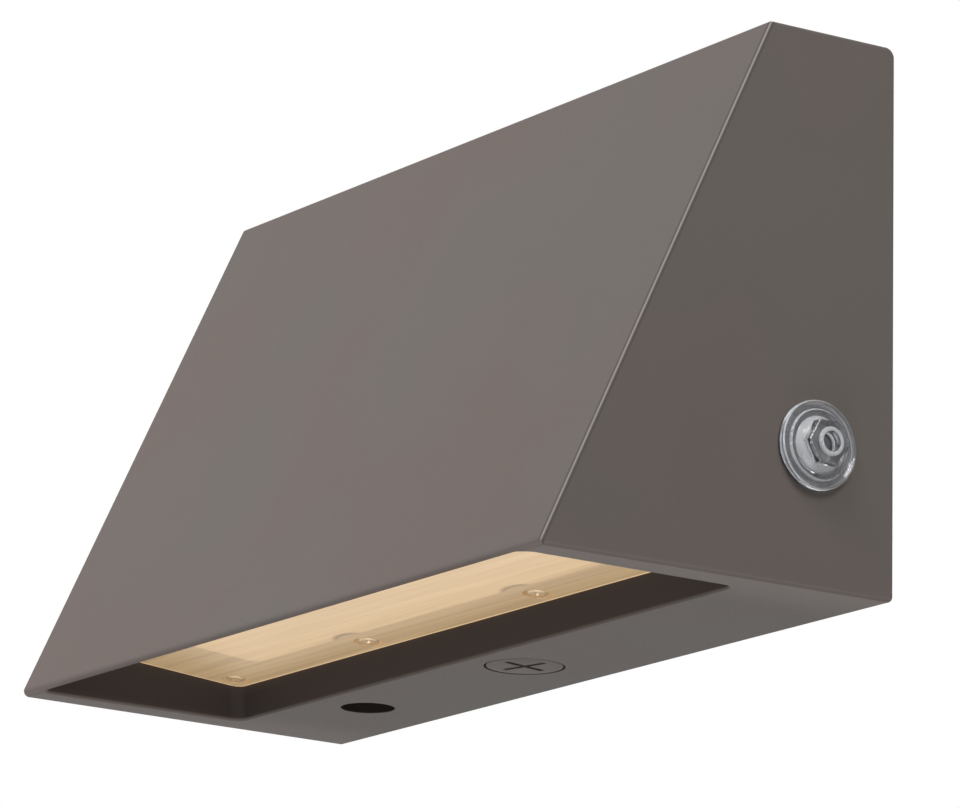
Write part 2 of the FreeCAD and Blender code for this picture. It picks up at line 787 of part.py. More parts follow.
def lens_screws():
    """Eight screws that hold the lens, their heads sunk in its counterbores."""
    screws = []
    face = recess_depth + lens_screw_rise
    top = face + lens_screw_head_height
    for x, y in screw_places():
        shank = rod((x, y, top - 0.1), (x, y, recess_depth + lens_screw_end), lens_screw_radius)
        head = rod((x, y, face), (x, y, top), lens_screw_head)
        rim = [edge for edge in head.Edges if abs(edge.CenterOfMass.z - face) < 0.01]
        head = head.makeFillet(0.7, rim)
        slot = cross_slot(x, y, face - 1, face + 0.8, 1.7, 0.7)
        screws.append(tilted(shank.fuse(head).cut(slot).removeSplitter()))
    return Part.makeCompound(screws)


def tapered_frame(low, high, z0, z1):
    """Solid between two level rounded rectangles, given as half width, front and back depth."""
    wires = []
    for (half, front, back), z in ((low, z0), (high, z1)):
        wires.append(rounded_outline(half, at_depth(front), at_depth(back), z, 4.0))
    return Part.makeLoft(wires, True, True)


def reflector():
    """White reflector that leans in from the chamber's mouth to the board."""
    sheet = 0.8
    low, high = (95.2, 98.4, 62.2), (90.0, 95.4, 65.2)
    inner_low = (low[0] - sheet, low[1] - sheet, low[2] + sheet)
    inner_high = (high[0] - sheet, high[1] - sheet, high[2] + sheet)
    z0, z1 = seat_height + 0.2, board_bottom - 0.1
    below_seat = tilted(box(-200, 200, -200, 0, z0 - 30, z0))
    return tapered_frame(low, high, z0, z1).cut(
        tapered_frame(inner_low, inner_high, z0, z1)).cut(below_seat)


def board_screw_places():
    return [(x, at_depth((board_back + board_front) / 2)) for x in board_screw_x]


def web_grommet_place():
    return (grommet_x, at_depth(grommet_depth))


def thermal_pad():
    pad = box(-board_half + 3, board_half - 3, at_depth(board_front - 1), at_depth(board_back + 1),
              chamber_top - pad_thickness, chamber_top)
    for x, y in board_screw_places() + [web_grommet_place()]:
        pad = pad.cut(rod((x, y, 0), (x, y, 40), 4.5))
    return pad


def led_board():
    """Metal-core board of the light source."""
    board = box(-board_half, board_half, at_depth(board_front), at_depth(board_back),
                board_bottom, board_bottom + board_thickness)
    for x, y in board_screw_places():
        board = board.cut(rod((x, y, 0), (x, y, 40), 1.4))
    x, y = web_grommet_place()
    return board.cut(rod((x, y, 0), (x, y, 40), 3.0))


def led_chips():
    """Two rows of light-emitting packages."""
    chips = []
    half = chip_size / 2
    for depth in chip_rows:
        for index in range(chip_count):
            x = (index - (chip_count - 1) / 2) * chip_pitch
            y = at_depth(depth)
            chips.append(box(x - half, x + half, y - half, y + half, board_bottom - chip_height,
                             board_bottom))
    return Part.makeCompound(chips)


def led_board_screws():
    screws = []
    for x, y in board_screw_places():
        shank = rod((x, y, board_bottom - 0.1), (x, y, chamber_top + 1.7), board_screw_radius)
        head = rod((x, y, board_bottom - 1.6), (x, y, board_bottom), 2.6)
        slot = cross_slot(x, y, board_bottom - 2, board_bottom - 0.8, 1.5, 0.6)
        screws.append(shank.fuse(head).cut(slot).removeSplitter())
    return Part.makeCompound(screws)


# ---------------------------------------------------------------- driver, terminals and leads

def driver_case():
    """Case of the power supply, with a fixing ear at each end."""
    back, front = at_depth(driver_depth[0]), at_depth(driver_depth[1])
    case = rounded_box(driver_x[0], driver_x[1], front, back, driver_bottom, driver_top, 3.0,
                       (0, 0, 1))
    seam = driver_top - 5.0
    groove = box(-100, 60, front - 1, back + 1, seam, seam + 0.6).cut(
        rounded_box(driver_x[0] + 0.5, driver_x[1] - 0.5, front + 0.5, back - 0.5, seam - 1,
                    seam + 2, 2.5, (0, 0, 1)))
    case = case.cut(groove)
    ears = []
    y = at_depth(driver_screw_depth)
    for x, inner in zip(driver_screw_x, driver_x):
        reach = x + math.copysign(5.0, x)
        x0, x1 = sorted((reach, inner - math.copysign(0.5, x)))
        ear = rounded_box(x0, x1, y - 6, y + 6, driver_ear_z, driver_ear_z + driver_ear, 2.0,
                          (0, 0, 1))
        ears.append(ear.cut(rod((x, y, 30), (x, y, 40), driver_screw_radius + 0.4)))
    return fuse_all([case] + ears)


def driver_screws():
    screws = []
    y = at_depth(driver_screw_depth)
    base = driver_ear_z + driver_ear
    for x in driver_screw_x:
        shank = rod((x, y, driver_ear_z - 4.5), (x, y, base + 0.1), driver_screw_radius)
        head = rod((x, y, base), (x, y, base + 2.2), 3.3)
        slot = cross_slot(x, y, base + 1.0, base + 3, 1.8, 0.7)
        screws.append(shank.fuse(head).cut(slot).removeSplitter())
    return Part.makeCompound(screws)


def block_screw_place():
    return (block_screw_x, at_depth(block_screw_depth))


def earth_screw_place():
    return (earth_x, at_depth(earth_depth))


def small_screw_end(y):
    """Tip of the block's and the earth lead's screws, in the metal above the lens's seat."""
    return seat_height + lens_rise(y) + 0.8


def terminal_block():
    """Three-way terminal block for the supply wires."""
    back, front = at_depth(block_depth[0]), at_depth(block_depth[1])
    base = rounded_box(block_x[0], block_x[1], front, back, block_base, block_base + 13, 1.5,
                       (0, 0, 1))
    tower = box(block_x[0] + 4, block_x[1] - 4, front + 0.5, back - 0.5, block_base + 12,
                block_top)
    block = base.fuse(tower)
    middle = (block_x[0] + block_x[1]) / 2
    for depth in block_ways:
        y = at_depth(depth)
        block = block.cut(rod((middle, y, block_top - 5), (middle, y, block_top + 1), 2.8))
        block = block.cut(rod((block_x[0] - 1, y, block_entry), (middle, y, block_entry), 2.0))
        block = block.cut(rod((middle, y, block_entry), (block_x[1] + 1, y, block_entry), 1.1))
    x, y = block_screw_place()
    block = block.cut(rod((x, y, 0), (x, y, 60), 1.7))
    return block.cut(rod((x, y, block_base + 3), (x, y, 60), 2.9))


def terminal_screws():
    """Clamp screws of the terminal block."""
    screws = []
    middle = (block_x[0] + block_x[1]) / 2
    for depth in block_ways:
        y = at_depth(depth)
        screw = rod((middle, y, block_top - 5), (middle, y, block_top - 1.5), 2.4)
        screws.append(screw.cut(box(middle - 3, middle + 3, y - 0.4, y + 0.4, block_top - 2.6,
                                    block_top)))
    return Part.makeCompound(screws)


def terminal_fixing_screw():
    x, y = block_screw_place()
    shank = rod((x, y, small_screw_end(y)), (x, y, block_base + 3.1), small_screw_radius)
    head = rod((x, y, block_base + 3), (x, y, block_base + 5), 2.6)
    return shank.fuse(head).cut(cross_slot(x, y, block_base + 4, block_base + 6, 1.5, 0.6))


def housing_earth_screw():
    """Screw that joins the earth lead's ring to the casting."""
    x, y = earth_screw_place()
    shank = rod((x, y, small_screw_end(y)), (x, y, block_base + 1.1), small_screw_radius)
    head = rod((x, y, block_base + 1.0), (x, y, block_base + 3.2), 3.0)
    slot = cross_slot(x, y, block_base + 2.2, block_base + 4, 1.8, 0.7)
    return shank.fuse(head).cut(slot).removeSplitter()


def earth_lead():
    """Green lead from the terminal block to the casting, with its ring end."""
    x, y = earth_screw_place()
    way_y = at_depth(block_ways[1])
    wire = lead([(block_x[1] - 3, way_y, block_entry), (block_x[1] + 2, way_y, block_entry),
                 (x - 0.4, way_y + 1, block_entry - 1.5), (x, way_y + 6, block_base + 3.2),
                 (x, y - 5.5, block_base + 1.0), (x, y - 3.0, block_base + 1.0)], lead_radius)
    ring = tube((x, y, block_base), (x, y, block_base + 1.0), 3.6, small_screw_radius)
    above = box(-140, -90, -90, -40, block_base, 60)
    core = rod((x, y, 0), (x, y, 60), 3.05)
    return ring.fuse(wire.common(above).cut(core)).removeSplitter()


def supply_lead(way):
    """Lead from the driver's left end to one way of the terminal block."""
    start, end, y, z = driver_x[0], block_x[1], at_depth(way), 38.5
    return lead([(start, y, z), (start - 6, y, z), (start - 14, y, z - 4.5),
                 (end + 5.5, y, block_entry + 1.0), (end + 0.5, y, block_entry),
                 (end - 3, y, block_entry)], lead_radius)


def led_lead(offset):
    """Lead from the driver's right end, down through the web's grommet to the board."""
    x, y = web_grommet_place()
    y0 = at_depth(80.0) + offset * 2.0
    y1 = y + offset
    return lead([(driver_x[1], y0, 47), (driver_x[1] + 9, y0, 47),
                 (x - 5, (y0 + y1) / 2, 45), (x, y1, 37),
                 (x, y1, board_bottom + board_thickness)], lead_radius)


def photocell_lead(offset):
    """Lead from the light sensor to the driver's right end."""
    y0, z0 = at_depth(cell_depth), cell_z + offset * 1.5
    y1, z1 = at_depth(69.0), 44.0 + offset * 1.6
    return lead([(sensor_back, y0, z0), (sensor_back - 10, y0, z0),
                 (sensor_back - 24, at_depth(42), z0 + 3), (82, at_depth(60), z1),
                 (60, y1, z1), (driver_x[1], y1, z1)], lead_radius)


def web_grommet():
    """Rubber bush where the leads pass from the driver space into the light chamber."""
    x, y = web_grommet_place()
    low, high = chamber_top, chamber_top + wall
    body = rod((x, y, low), (x, y, high + 1.5), 4.0)
    lip = rod((x, y, high), (x, y, high + 1.5), 5.5)
    bush = body.fuse(lip)
    for offset in (-1, 1):
        bush = bush.cut(rod((x, y + offset, 0), (x, y + offset, 60), lead_radius + 0.02))
    return bush.removeSplitter()


# ---------------------------------------------------------------- light sensor on the right end

cell_y = at_depth(cell_depth)
cell_face = end_x(cell_y)
flange_back = cell_face + cell_gasket


def turned_x(profile):
    """Solid of revolution about the sensor's axis; profile points are (x, radius)."""
    points = [V(x, cell_y, cell_z + radius) for x, radius in profile]
    face = Part.Face(Part.makePolygon(points + points[:1]))
    return face.revolve(V(0, cell_y, cell_z), V(1, 0, 0), 360)


def photocell_window():
    """Clear window: flange, bright rim, inner ring, dome, hexagon and tube end."""
    base = flange_back
    profile = [(126.0, 6.2), (126.0, cell_neck), (base, cell_neck), (base, cell_flange),
               (base + 1.6, cell_flange), (base + 2.0, cell_flange - 0.4),
               (base + 2.0, cell_flange - 1.1), (base + 1.2, cell_flange - 1.7),
               (base + 1.2, 10.3), (base + 2.2, 10.1), (base + 2.2, 9.4), (base + 1.5, 9.0),
               (base + 1.5, 8.2), (base + 2.8, 7.6), (base + 3.7, 6.6), (base + 4.2, 5.6),
               (base + 4.2, 0.0), (base - 2.0, 0.0), (base - 2.0, 6.2)]
    shape = turned_x(profile)
    boss = hexagon((base + 3.4, cell_y, cell_z), cell_boss, "x", 3.2)
    boss.rotate(V(base, cell_y, cell_z), V(1, 0, 0), 30)
    stem = rod((base + 4.0, cell_y, cell_z), (base + 7.6, cell_y, cell_z), cell_stem)
    bore = rod((base + 3.0, cell_y, cell_z), (base + 9.0, cell_y, cell_z), cell_bore)
    return fuse_all([shape, boss, stem]).cut(bore)


def photocell_gasket(outer):
    """Rubber washer under the window's flange, shaped to the drafted end face."""
    ring = tube((cell_face - 1.5, cell_y, cell_z), (flange_back, cell_y, cell_z),
                cell_flange - 0.5, cell_neck)
    hole = rod((100, cell_y, cell_z), (160, cell_y, cell_z), cell_neck + 0.3)
    return ring.cut(outer).cut(hole)


def photocell_nut(outer):
    """Nut that pulls the window's neck into the end wall."""
    start = cell_nut_start
    blank = hexagon((start, cell_y, cell_z), cell_nut, "x", 10)
    blank = blank.cut(rod((start - 1, cell_y, cell_z), (start + 20, cell_y, cell_z),
                          cell_neck + 0.02))
    return blank.common(wedge(wall, floor_wall, housing_height - wall, -10, wall))


def photocell_sensor():
    """Light sensor inside the window's neck."""
    front = flange_back - 2.6
    can = rod((sensor_back, cell_y, cell_z), (front, cell_y, cell_z), sensor_radius)
    eye = rod((front - 0.2, cell_y, cell_z), (front + 0.5, cell_y, cell_z), 3.6)
    collar = rod((sensor_back, cell_y, cell_z), (125.8, cell_y, cell_z), 7.4)
    return fuse_all([can, eye, collar])


# ---------------------------------------------------------------- lock and conduit plug

def lock_screw():
    """Captive screw, turned from below through the hole in the floor."""
    x, y = lock_x, at_depth(lock_depth)
    head = rod((x, y, lock_head_low), (x, y, lock_head_high), lock_head)
    rim = [edge for edge in head.Edges if abs(edge.CenterOfMass.z - lock_head_low) < 0.01]
    head = head.makeFillet(1.0, rim)
    shank = rod((x, y, lock_head_high - 0.1), (x, y, lock_screw_end), lock_shank)
    socket = hexagon((x, y, lock_head_low - 1), lock_socket, "z", 3.0)
    return head.fuse(shank).cut(socket).removeSplitter()


def lock_seal():
    """Rubber washer between the lock screw's head and the web."""
    x, y = lock_x, at_depth(lock_depth)
    return tube((x, y, 8.0), (x, y, lock_web), 6.4, lock_shank + 0.4)


def lock_nut():
    """Square nut that clamps the wall plate's lug; its base follows the lug's curve."""
    x, y = lock_x, at_depth(lock_depth)
    half = lug_half + 0.2
    block = box(x - half, x + half, y - lock_nut_depth, y + lock_nut_depth, 10, 26)
    block = block.common(rod((x - 20, pivot_y, pivot_z), (x + 20, pivot_y, pivot_z),
                             lug_inner - 0.1))
    return block.cut(rod((x, y, 0), (x, y, 40), lock_shank + lock_play))


def plug_seal():
    """Flat rubber ring under the conduit plug's head."""
    y = at_depth(plug_depth)
    return tube((plug_x, y, 2.25), (plug_x, y, 3.65), plug_recess - 0.3, plug_thread + 0.3)


def conduit_plug():
    """Plug of the conduit entry, with a cross slot in its flush head."""
    y = at_depth(plug_depth)
    head = rod((plug_x, y, plug_face), (plug_x, y, plug_head_top), plug_head)
    barrel = rod((plug_x, y, plug_head_top - 0.1), (plug_x, y, plug_end), plug_thread)
    hollow = rod((plug_x, y, plug_hollow_from), (plug_x, y, plug_end + 1), plug_hollow)
    slot = cross_slot(plug_x, y, -1, cross_top, cross_half, cross_width, cross_turn)
    return head.fuse(barrel).cut(hollow).cut(slot).removeSplitter()


# ---------------------------------------------------------------- all nodes

def build():
    outer = outer_wedge()
    return {
        "wall_plate": wall_plate(),
        "hinge_brackets": hinge_brackets(),
        "lock_bracket": lock_bracket(),
        "bracket_rivets": bracket_rivets(),
        "wall_seal": wall_seal(),
        "cable_grommet": cable_grommet(),
        "ground_screw": ground_screw(),
        "housing": housing(outer),
        "hinge_pins": hinge_pins(),
        "rim_gasket": rim_gasket(),
        "lens": lens(),
        "lens_gasket": lens_gasket(),
        "lens_screws": lens_screws(),
        "reflector": reflector(),
        "thermal_pad": thermal_pad(),
        "led_board": led_board(),
        "led_chips": led_chips(),
        "led_board_screws": led_board_screws(),
        "driver_case": driver_case(),
        "driver_screws": driver_screws(),
        "terminal_block": terminal_block(),
        "terminal_screws": terminal_screws(),
        "terminal_fixing_screw": terminal_fixing_screw(),
        "housing_earth_screw": housing_earth_screw(),
        "earth_lead": earth_lead(),
        "line_lead": supply_lead(block_ways[0]),
        "neutral_lead": supply_lead(block_ways[2]),
        "led_lead_red": led_lead(-1),
        "led_lead_black": led_lead(1),
        "photocell_lead_a": photocell_lead(-1),
        "photocell_lead_b": photocell_lead(1),
        "web_grommet": web_grommet(),
        "photocell_window": photocell_window(),
        "photocell_gasket": photocell_gasket(outer),
        "photocell_nut": photocell_nut(outer),
        "photocell_sensor": photocell_sensor(),
        "lock_seal": lock_seal(),
        "lock_screw": lock_screw(),
        "lock_nut": lock_nut(),
        "plug_seal": plug_seal(),
        "conduit_plug": conduit_plug(),
    }


os.makedirs("parts", exist_ok=True)
for name, shape in build().items():
    shape.translate(V(0, 0, -origin_height))
    shape.exportStep("parts/" + name + ".step")
    limits = shape.BoundBox
    print(name, "valid" if shape.isValid() else "INVALID", len(shape.Solids), "solids",
          round(shape.Volume, 1), "mm3",
          [round(value, 2) for value in (limits.XMin, limits.YMin, limits.ZMin,
                                         limits.XMax, limits.YMax, limits.ZMax)])
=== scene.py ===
import json
import math

import bmesh
import bpy
from mathutils import Matrix, Vector


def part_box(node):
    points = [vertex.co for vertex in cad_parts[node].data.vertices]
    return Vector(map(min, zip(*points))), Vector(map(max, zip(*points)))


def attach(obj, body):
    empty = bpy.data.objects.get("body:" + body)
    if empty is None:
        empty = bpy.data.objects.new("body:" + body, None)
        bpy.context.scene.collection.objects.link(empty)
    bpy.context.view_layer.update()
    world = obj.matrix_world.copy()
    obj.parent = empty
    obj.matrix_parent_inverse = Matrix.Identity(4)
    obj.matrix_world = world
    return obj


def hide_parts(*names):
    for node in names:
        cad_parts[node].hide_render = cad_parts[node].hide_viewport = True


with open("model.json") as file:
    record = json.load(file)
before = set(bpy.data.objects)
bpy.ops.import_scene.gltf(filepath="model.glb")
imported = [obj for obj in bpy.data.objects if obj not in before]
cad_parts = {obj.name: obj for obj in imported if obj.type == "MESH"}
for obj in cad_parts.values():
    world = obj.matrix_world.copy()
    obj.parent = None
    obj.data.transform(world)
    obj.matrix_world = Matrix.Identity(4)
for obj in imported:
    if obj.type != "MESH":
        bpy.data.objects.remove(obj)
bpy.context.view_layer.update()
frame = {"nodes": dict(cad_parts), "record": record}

# The light as it hangs on its wall: X to the right, Y into the wall, Z up. The origin is the
# centre of the wall plate's fixing holes. The pieces' sizes are in millimetres, with depths
# forward of the housing's rear rim and heights above its underside. The camera, the lamps and
# the floor are in metres.
mm = 0.001
nodes = frame["nodes"]
scene = bpy.context.scene
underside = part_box("housing")[0].z
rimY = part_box("housing")[1].y
lockPlace = (-83.5, 28.1)  # X and depth of the lock's screw, and of its hole in the underside
print("frame loaded with", len(nodes), "nodes")


def depthY(depth):  # Y of what lies this many millimetres forward of the housing's rear rim
    return rimY - depth * mm


def heightZ(height):  # Z of what lies this many millimetres above the housing's underside
    return underside + height * mm


# camera, lamps and floor

cameraView = {
    "place": (1.382998, -0.991052, -0.418954),
    "turn": (104.0913, -1.156, 55.3976),  # degrees
    "lens": 217.686,  # this and the sensor in millimetres
    "sensor": 36.0,
    "clip": (0.05, 60.0),
}


def makeCamera():
    data = bpy.data.cameras.new("camera")
    data.lens = cameraView["lens"]
    data.sensor_width = cameraView["sensor"]
    data.clip_start, data.clip_end = cameraView["clip"]
    camera = bpy.data.objects.new("camera", data)
    camera.location = cameraView["place"]
    camera.rotation_euler = [math.radians(angle) for angle in cameraView["turn"]]
    scene.collection.objects.link(camera)
    scene.camera = camera


studio = {
    "airColour": (1.0, 0.99, 0.98, 1.0),
    "airStrength": 0.20,
    "floorHeight": -3.0,  # metres, well below the camera, which looks up at the light
    "floorSize": 40.0,
    "floorColour": (0.70, 0.70, 0.69, 1.0),
    "lamps": {
        "keyLamp": {"place": (-0.85, -1.25, 0.25), "size": 0.8, "power": 12.9},
        "topLamp": {"place": (0.86, -1.17, 1.65), "size": 0.7, "power": 11.6},
        "sideLamp": {"place": (1.5, -0.3, 0.95), "size": 0.9, "power": 14.0},
        "lowLamp": {"place": (0.35, -0.45, -1.05), "size": 0.9, "power": 3.6},
    },
}


def seenDirectly(tree):  # 1 for what the eye, a mirror or clear plastic sees
    path = tree.nodes.new("ShaderNodeLightPath")
    return maths(tree, "MAXIMUM", path.outputs["Is Camera Ray"],
                 maths(tree, "MAXIMUM", path.outputs["Is Glossy Ray"],
                       path.outputs["Is Transmission Ray"]))


def makeAir():
    world = bpy.data.worlds.new("air")
    world.use_nodes = True
    tree = world.node_tree
    tree.nodes.clear()
    soft = tree.nodes.new("ShaderNodeBackground")
    soft.inputs["Color"].default_value = studio["airColour"]
    soft.inputs["Strength"].default_value = studio["airStrength"]
    white = tree.nodes.new("ShaderNodeBackground")
    white.inputs["Color"].default_value = (1.0, 1.0, 1.0, 1.0)
    mix = tree.nodes.new("ShaderNodeMixShader")
    out = tree.nodes.new("ShaderNodeOutputWorld")
    tree.links.new(seenDirectly(tree), mix.inputs[0])
    tree.links.new(soft.outputs[0], mix.inputs[1])
    tree.links.new(white.outputs[0], mix.inputs[2])
    tree.links.new(mix.outputs[0], out.inputs["Surface"])
    scene.world = world


def makeFloor():
    bm = bmesh.new()
    bmesh.ops.create_grid(bm, x_segments=1, y_segments=1, size=studio["floorSize"] / 2)
    bmesh.ops.translate(bm, vec=(0, 0, studio["floorHeight"]), verts=bm.verts)
    mesh = bpy.data.meshes.new("floor")
    bm.to_mesh(mesh)
    bm.free()
    floor = bpy.data.objects.new("floor", mesh)
    scene.collection.objects.link(floor)
    material = bpy.data.materials.new("paleFloor")
    material.use_nodes = True
    tree = material.node_tree
    tree.nodes.clear()
    matt = tree.nodes.new("ShaderNodeBsdfDiffuse")
    matt.inputs["Color"].default_value = studio["floorColour"]
    glow = tree.nodes.new("ShaderNodeEmission")
    mix = tree.nodes.new("ShaderNodeMixShader")
    out = tree.nodes.new("ShaderNodeOutputMaterial")
    tree.links.new(seenDirectly(tree), mix.inputs[0])
    tree.links.new(matt.outputs[0], mix.inputs[1])
    tree.links.new(glow.outputs[0], mix.inputs[2])
    tree.links.new(mix.outputs[0], out.inputs["Surface"])
    mesh.materials.append(material)


def makeLamps():
    for name, lamp in studio["lamps"].items():
        data = bpy.data.lights.new(name, "AREA")
        data.shape = "DISK"
        data.size = lamp["size"]
        data.energy = lamp["power"]
        made = bpy.data.objects.new(name, data)
        made.location = lamp["place"]
        made.rotation_euler = Vector(lamp["place"]).to_track_quat("Z", "Y").to_euler()
        scene.collection.objects.link(made)


# finishes

noiseRange = (0.3, 0.7)  # noise lies mostly between these values
patchRange = (0.35, 0.65)  # this gives patches a harder edge


def feed(tree, socket, value):  # links a socket, or sets its value
    if isinstance(value, bpy.types.NodeSocket):
        tree.links.new(value, socket)
    else:
        socket.default_value = value


def maths(tree, operation, first, second=0.0):
    node = tree.nodes.new("ShaderNodeMath")
    node.operation = operation
    feed(tree, node.inputs[0], first)
    feed(tree, node.inputs[1], second)
    return node.outputs[0]


def product(tree, first, *others):
    for other in others:
        first = maths(tree, "MULTIPLY", first, other)
    return first


def remap(tree, value, low, high, toLow=0.0, toHigh=1.0):
    node = tree.nodes.new("ShaderNodeMapRange")
    node.interpolation_type = "SMOOTHSTEP"
    feed(tree, node.inputs["Value"], value)
    node.inputs["From Min"].default_value = low
    node.inputs["From Max"].default_value = high
    node.inputs["To Min"].default_value = toLow
    node.inputs["To Max"].default_value = toHigh
    return node.outputs["Result"]


def fadeIn(tree, value, start, end, low=0.0):  # low up to start and 1 from end on, in millimetres
    return remap(tree, value, start * mm, end * mm, low, 1.0)


def fadeOut(tree, value, start, end):  # 1 up to start and 0 from end on, in millimetres
    return remap(tree, value, start * mm, end * mm, 1.0, 0.0)


def mixColour(tree, factor, first, second):  # sockets 6 and 7 take colours, 2 gives one
    node = tree.nodes.new("ShaderNodeMix")
    node.data_type = "RGBA"
    feed(tree, node.inputs["Factor"], factor)
    for socket, colour in ((node.inputs[6], first), (node.inputs[7], second)):
        linked = isinstance(colour, bpy.types.NodeSocket)
        feed(tree, socket, colour if linked else (*colour, 1))
    return node.outputs[2]


def objectPlace(tree, stretch=(1, 1, 1)):
    coords = tree.nodes.new("ShaderNodeTexCoord").outputs["Object"]
    if stretch == (1, 1, 1):
        return coords
    mapping = tree.nodes.new("ShaderNodeMapping")
    mapping.inputs["Scale"].default_value = stretch
    tree.links.new(coords, mapping.inputs["Vector"])
    return mapping.outputs[0]


def placeParts(tree):  # X, Y and Z of the place on the object
    split = tree.nodes.new("ShaderNodeSeparateXYZ")
    tree.links.new(objectPlace(tree), split.inputs[0])
    return split.outputs[:]


def joined(tree, x, y):  # a point in the plane of X and Y
    join = tree.nodes.new("ShaderNodeCombineXYZ")
    feed(tree, join.inputs[0], x)
    feed(tree, join.inputs[1], y)
    return join.outputs[0]


def distanceTo(tree, point, x, depth):  # from such a point to a spot on the light
    gap = tree.nodes.new("ShaderNodeVectorMath")
    gap.operation = "DISTANCE"
    tree.links.new(point, gap.inputs[0])
    gap.inputs[1].default_value = (x * mm, depthY(depth), 0)
    return gap.outputs["Value"]


def noise(tree, size, detail=2.0, stretch=(1, 1, 1)):  # size of the grain in millimetres
    node = tree.nodes.new("ShaderNodeTexNoise")
    node.inputs["Scale"].default_value = 1.0 / (size * mm)
    node.inputs["Detail"].default_value = detail
    tree.links.new(objectPlace(tree, stretch), node.inputs["Vector"])
    return node.outputs["Fac"]


def bumped(tree, shader, height, depth):  # depth in millimetres
    bump = tree.nodes.new("ShaderNodeBump")
    bump.inputs["Strength"].default_value = 1.0
    bump.inputs["Distance"].default_value = depth * mm
    feed(tree, bump.inputs["Height"], height)
    tree.links.new(bump.outputs[0], shader.inputs["Normal"])


def startMaterial(name):
    material = bpy.data.materials.new(name)
    material.use_nodes = True
    tree = material.node_tree
    return material, tree, tree.nodes["Principled BSDF"]


def setSockets(shader, settings):
    for socket, value in settings.items():
        shader.inputs[socket].default_value = value


leadSheath = {"patch": 6.0, "grain": 0.4, "rough": (0.34, 0.48), "depth": 0.012}

# For each finish: its colour and other shade, the size of the patches between them and of the
# grain, the roughness from and to, the depth of the relief, and what is set on the shader.
plainFinishes = {
    "zinc_steel": {
        "colour": (0.45, 0.46, 0.465), "shade": (0.38, 0.385, 0.38), "patch": 14.0, "grain": 0.5,
        "stretch": (0.08, 1, 1), "rough": (0.52, 0.66), "depth": 0.010,
        "sockets": {"Metallic": 0.55}},
    "bright_steel": {
        "colour": (0.60, 0.59, 0.575), "shade": (0.50, 0.49, 0.48), "patch": 2.0, "grain": 0.25,
        "rough": (0.22, 0.36), "depth": 0.004, "sockets": {"Metallic": 1.0}},
    "warm_steel": {  # yellow passivated, with a painted reflection of the lens's warm light in its colour
        "colour": (0.74, 0.57, 0.37), "shade": (0.66, 0.49, 0.31), "patch": 1.2, "grain": 0.25,
        "rough": (0.30, 0.42), "depth": 0.004,
        "sockets": {"Metallic": 0.45, "Emission Color": (1.0, 0.69, 0.385, 1.0),
                    "Emission Strength": 0.16}},  # painted glow: stands for the lens's light on the heads
    "black_rubber": {
        "colour": (0.022, 0.022, 0.023), "shade": (0.035, 0.034, 0.033), "patch": 3.0,
        "grain": 0.3, "rough": (0.62, 0.80), "depth": 0.015},
    "grey_foam": {
        "colour": (0.060, 0.060, 0.063), "shade": (0.032, 0.032, 0.034), "patch": 0.9,
        "grain": 0.45, "rough": (0.88, 0.98), "depth": 0.12,
        "sockets": {"Specular IOR Level": 0.2}},
    "silicone": {
        "colour": (0.70, 0.68, 0.62), "shade": (0.62, 0.60, 0.55), "patch": 5.0, "grain": 0.4,
        "rough": (0.40, 0.55), "depth": 0.008},
    "white_sheet": {
        "colour": (0.86, 0.86, 0.83), "shade": (0.82, 0.82, 0.79), "patch": 8.0, "grain": 0.8,
        "rough": (0.24, 0.34), "depth": 0.010, "sockets": {"Coat Weight": 0.2}},
    "white_board": {
        "colour": (0.84, 0.84, 0.80), "shade": (0.79, 0.79, 0.74), "patch": 4.0, "grain": 0.5,
        "rough": (0.30, 0.42), "depth": 0.006},
    "pad_grey": {
        "colour": (0.20, 0.24, 0.30), "shade": (0.16, 0.20, 0.25), "patch": 3.0, "grain": 0.4,
        "rough": (0.70, 0.85), "depth": 0.020},
    "driver_shell": {
        "colour": (0.74, 0.74, 0.71), "shade": (0.69, 0.69, 0.66), "patch": 9.0, "grain": 0.35,
        "rough": (0.46, 0.58), "depth": 0.020},
    "terminal_plastic": {
        "colour": (0.74, 0.71, 0.60), "shade": (0.68, 0.65, 0.54), "patch": 5.0, "grain": 0.4,
        "rough": (0.38, 0.50), "depth": 0.010, "sockets": {"Subsurface Weight": 0.1}},
    "brass_clamp": {
        "colour": (0.70, 0.52, 0.22), "shade": (0.58, 0.42, 0.18), "patch": 1.5, "grain": 0.3,
        "rough": (0.24, 0.40), "depth": 0.004, "sockets": {"Metallic": 1.0}},
    "lead_red": {
        "colour": (0.46, 0.018, 0.014), "shade": (0.38, 0.014, 0.012), **leadSheath},
    "lead_black": {
        "colour": (0.014, 0.014, 0.015), "shade": (0.022, 0.022, 0.022), **leadSheath},
    "lead_white": {
        "colour": (0.72, 0.72, 0.69), "shade": (0.66, 0.66, 0.62), **leadSheath},
    "lead_green": {
        "colour": (0.010, 0.15, 0.035), "shade": (0.008, 0.11, 0.026), **leadSheath},
    "sensor_black": {
        "colour": (0.028, 0.028, 0.030), "shade": (0.018, 0.018, 0.020), "patch": 2.0,
        "grain": 0.25, "rough": (0.30, 0.44), "depth": 0.008},
    "green_screw": {
        "colour": (0.04, 0.26, 0.07), "shade": (0.03, 0.19, 0.05), "patch": 1.5, "grain": 0.3,
        "rough": (0.24, 0.38), "depth": 0.005, "sockets": {"Metallic": 0.8}},
    "led_frame": {
        "colour": (0.85, 0.85, 0.82), "shade": (0.80, 0.80, 0.77), "patch": 1.0, "grain": 0.2,
        "rough": (0.34, 0.44), "depth": 0.004},
    "led_yellow": {
        "colour": (0.86, 0.62, 0.10), "shade": (0.80, 0.55, 0.08), "patch": 0.6, "grain": 0.15,
        "rough": (0.30, 0.42), "depth": 0.010, "sockets": {"Subsurface Weight": 0.2}},
}


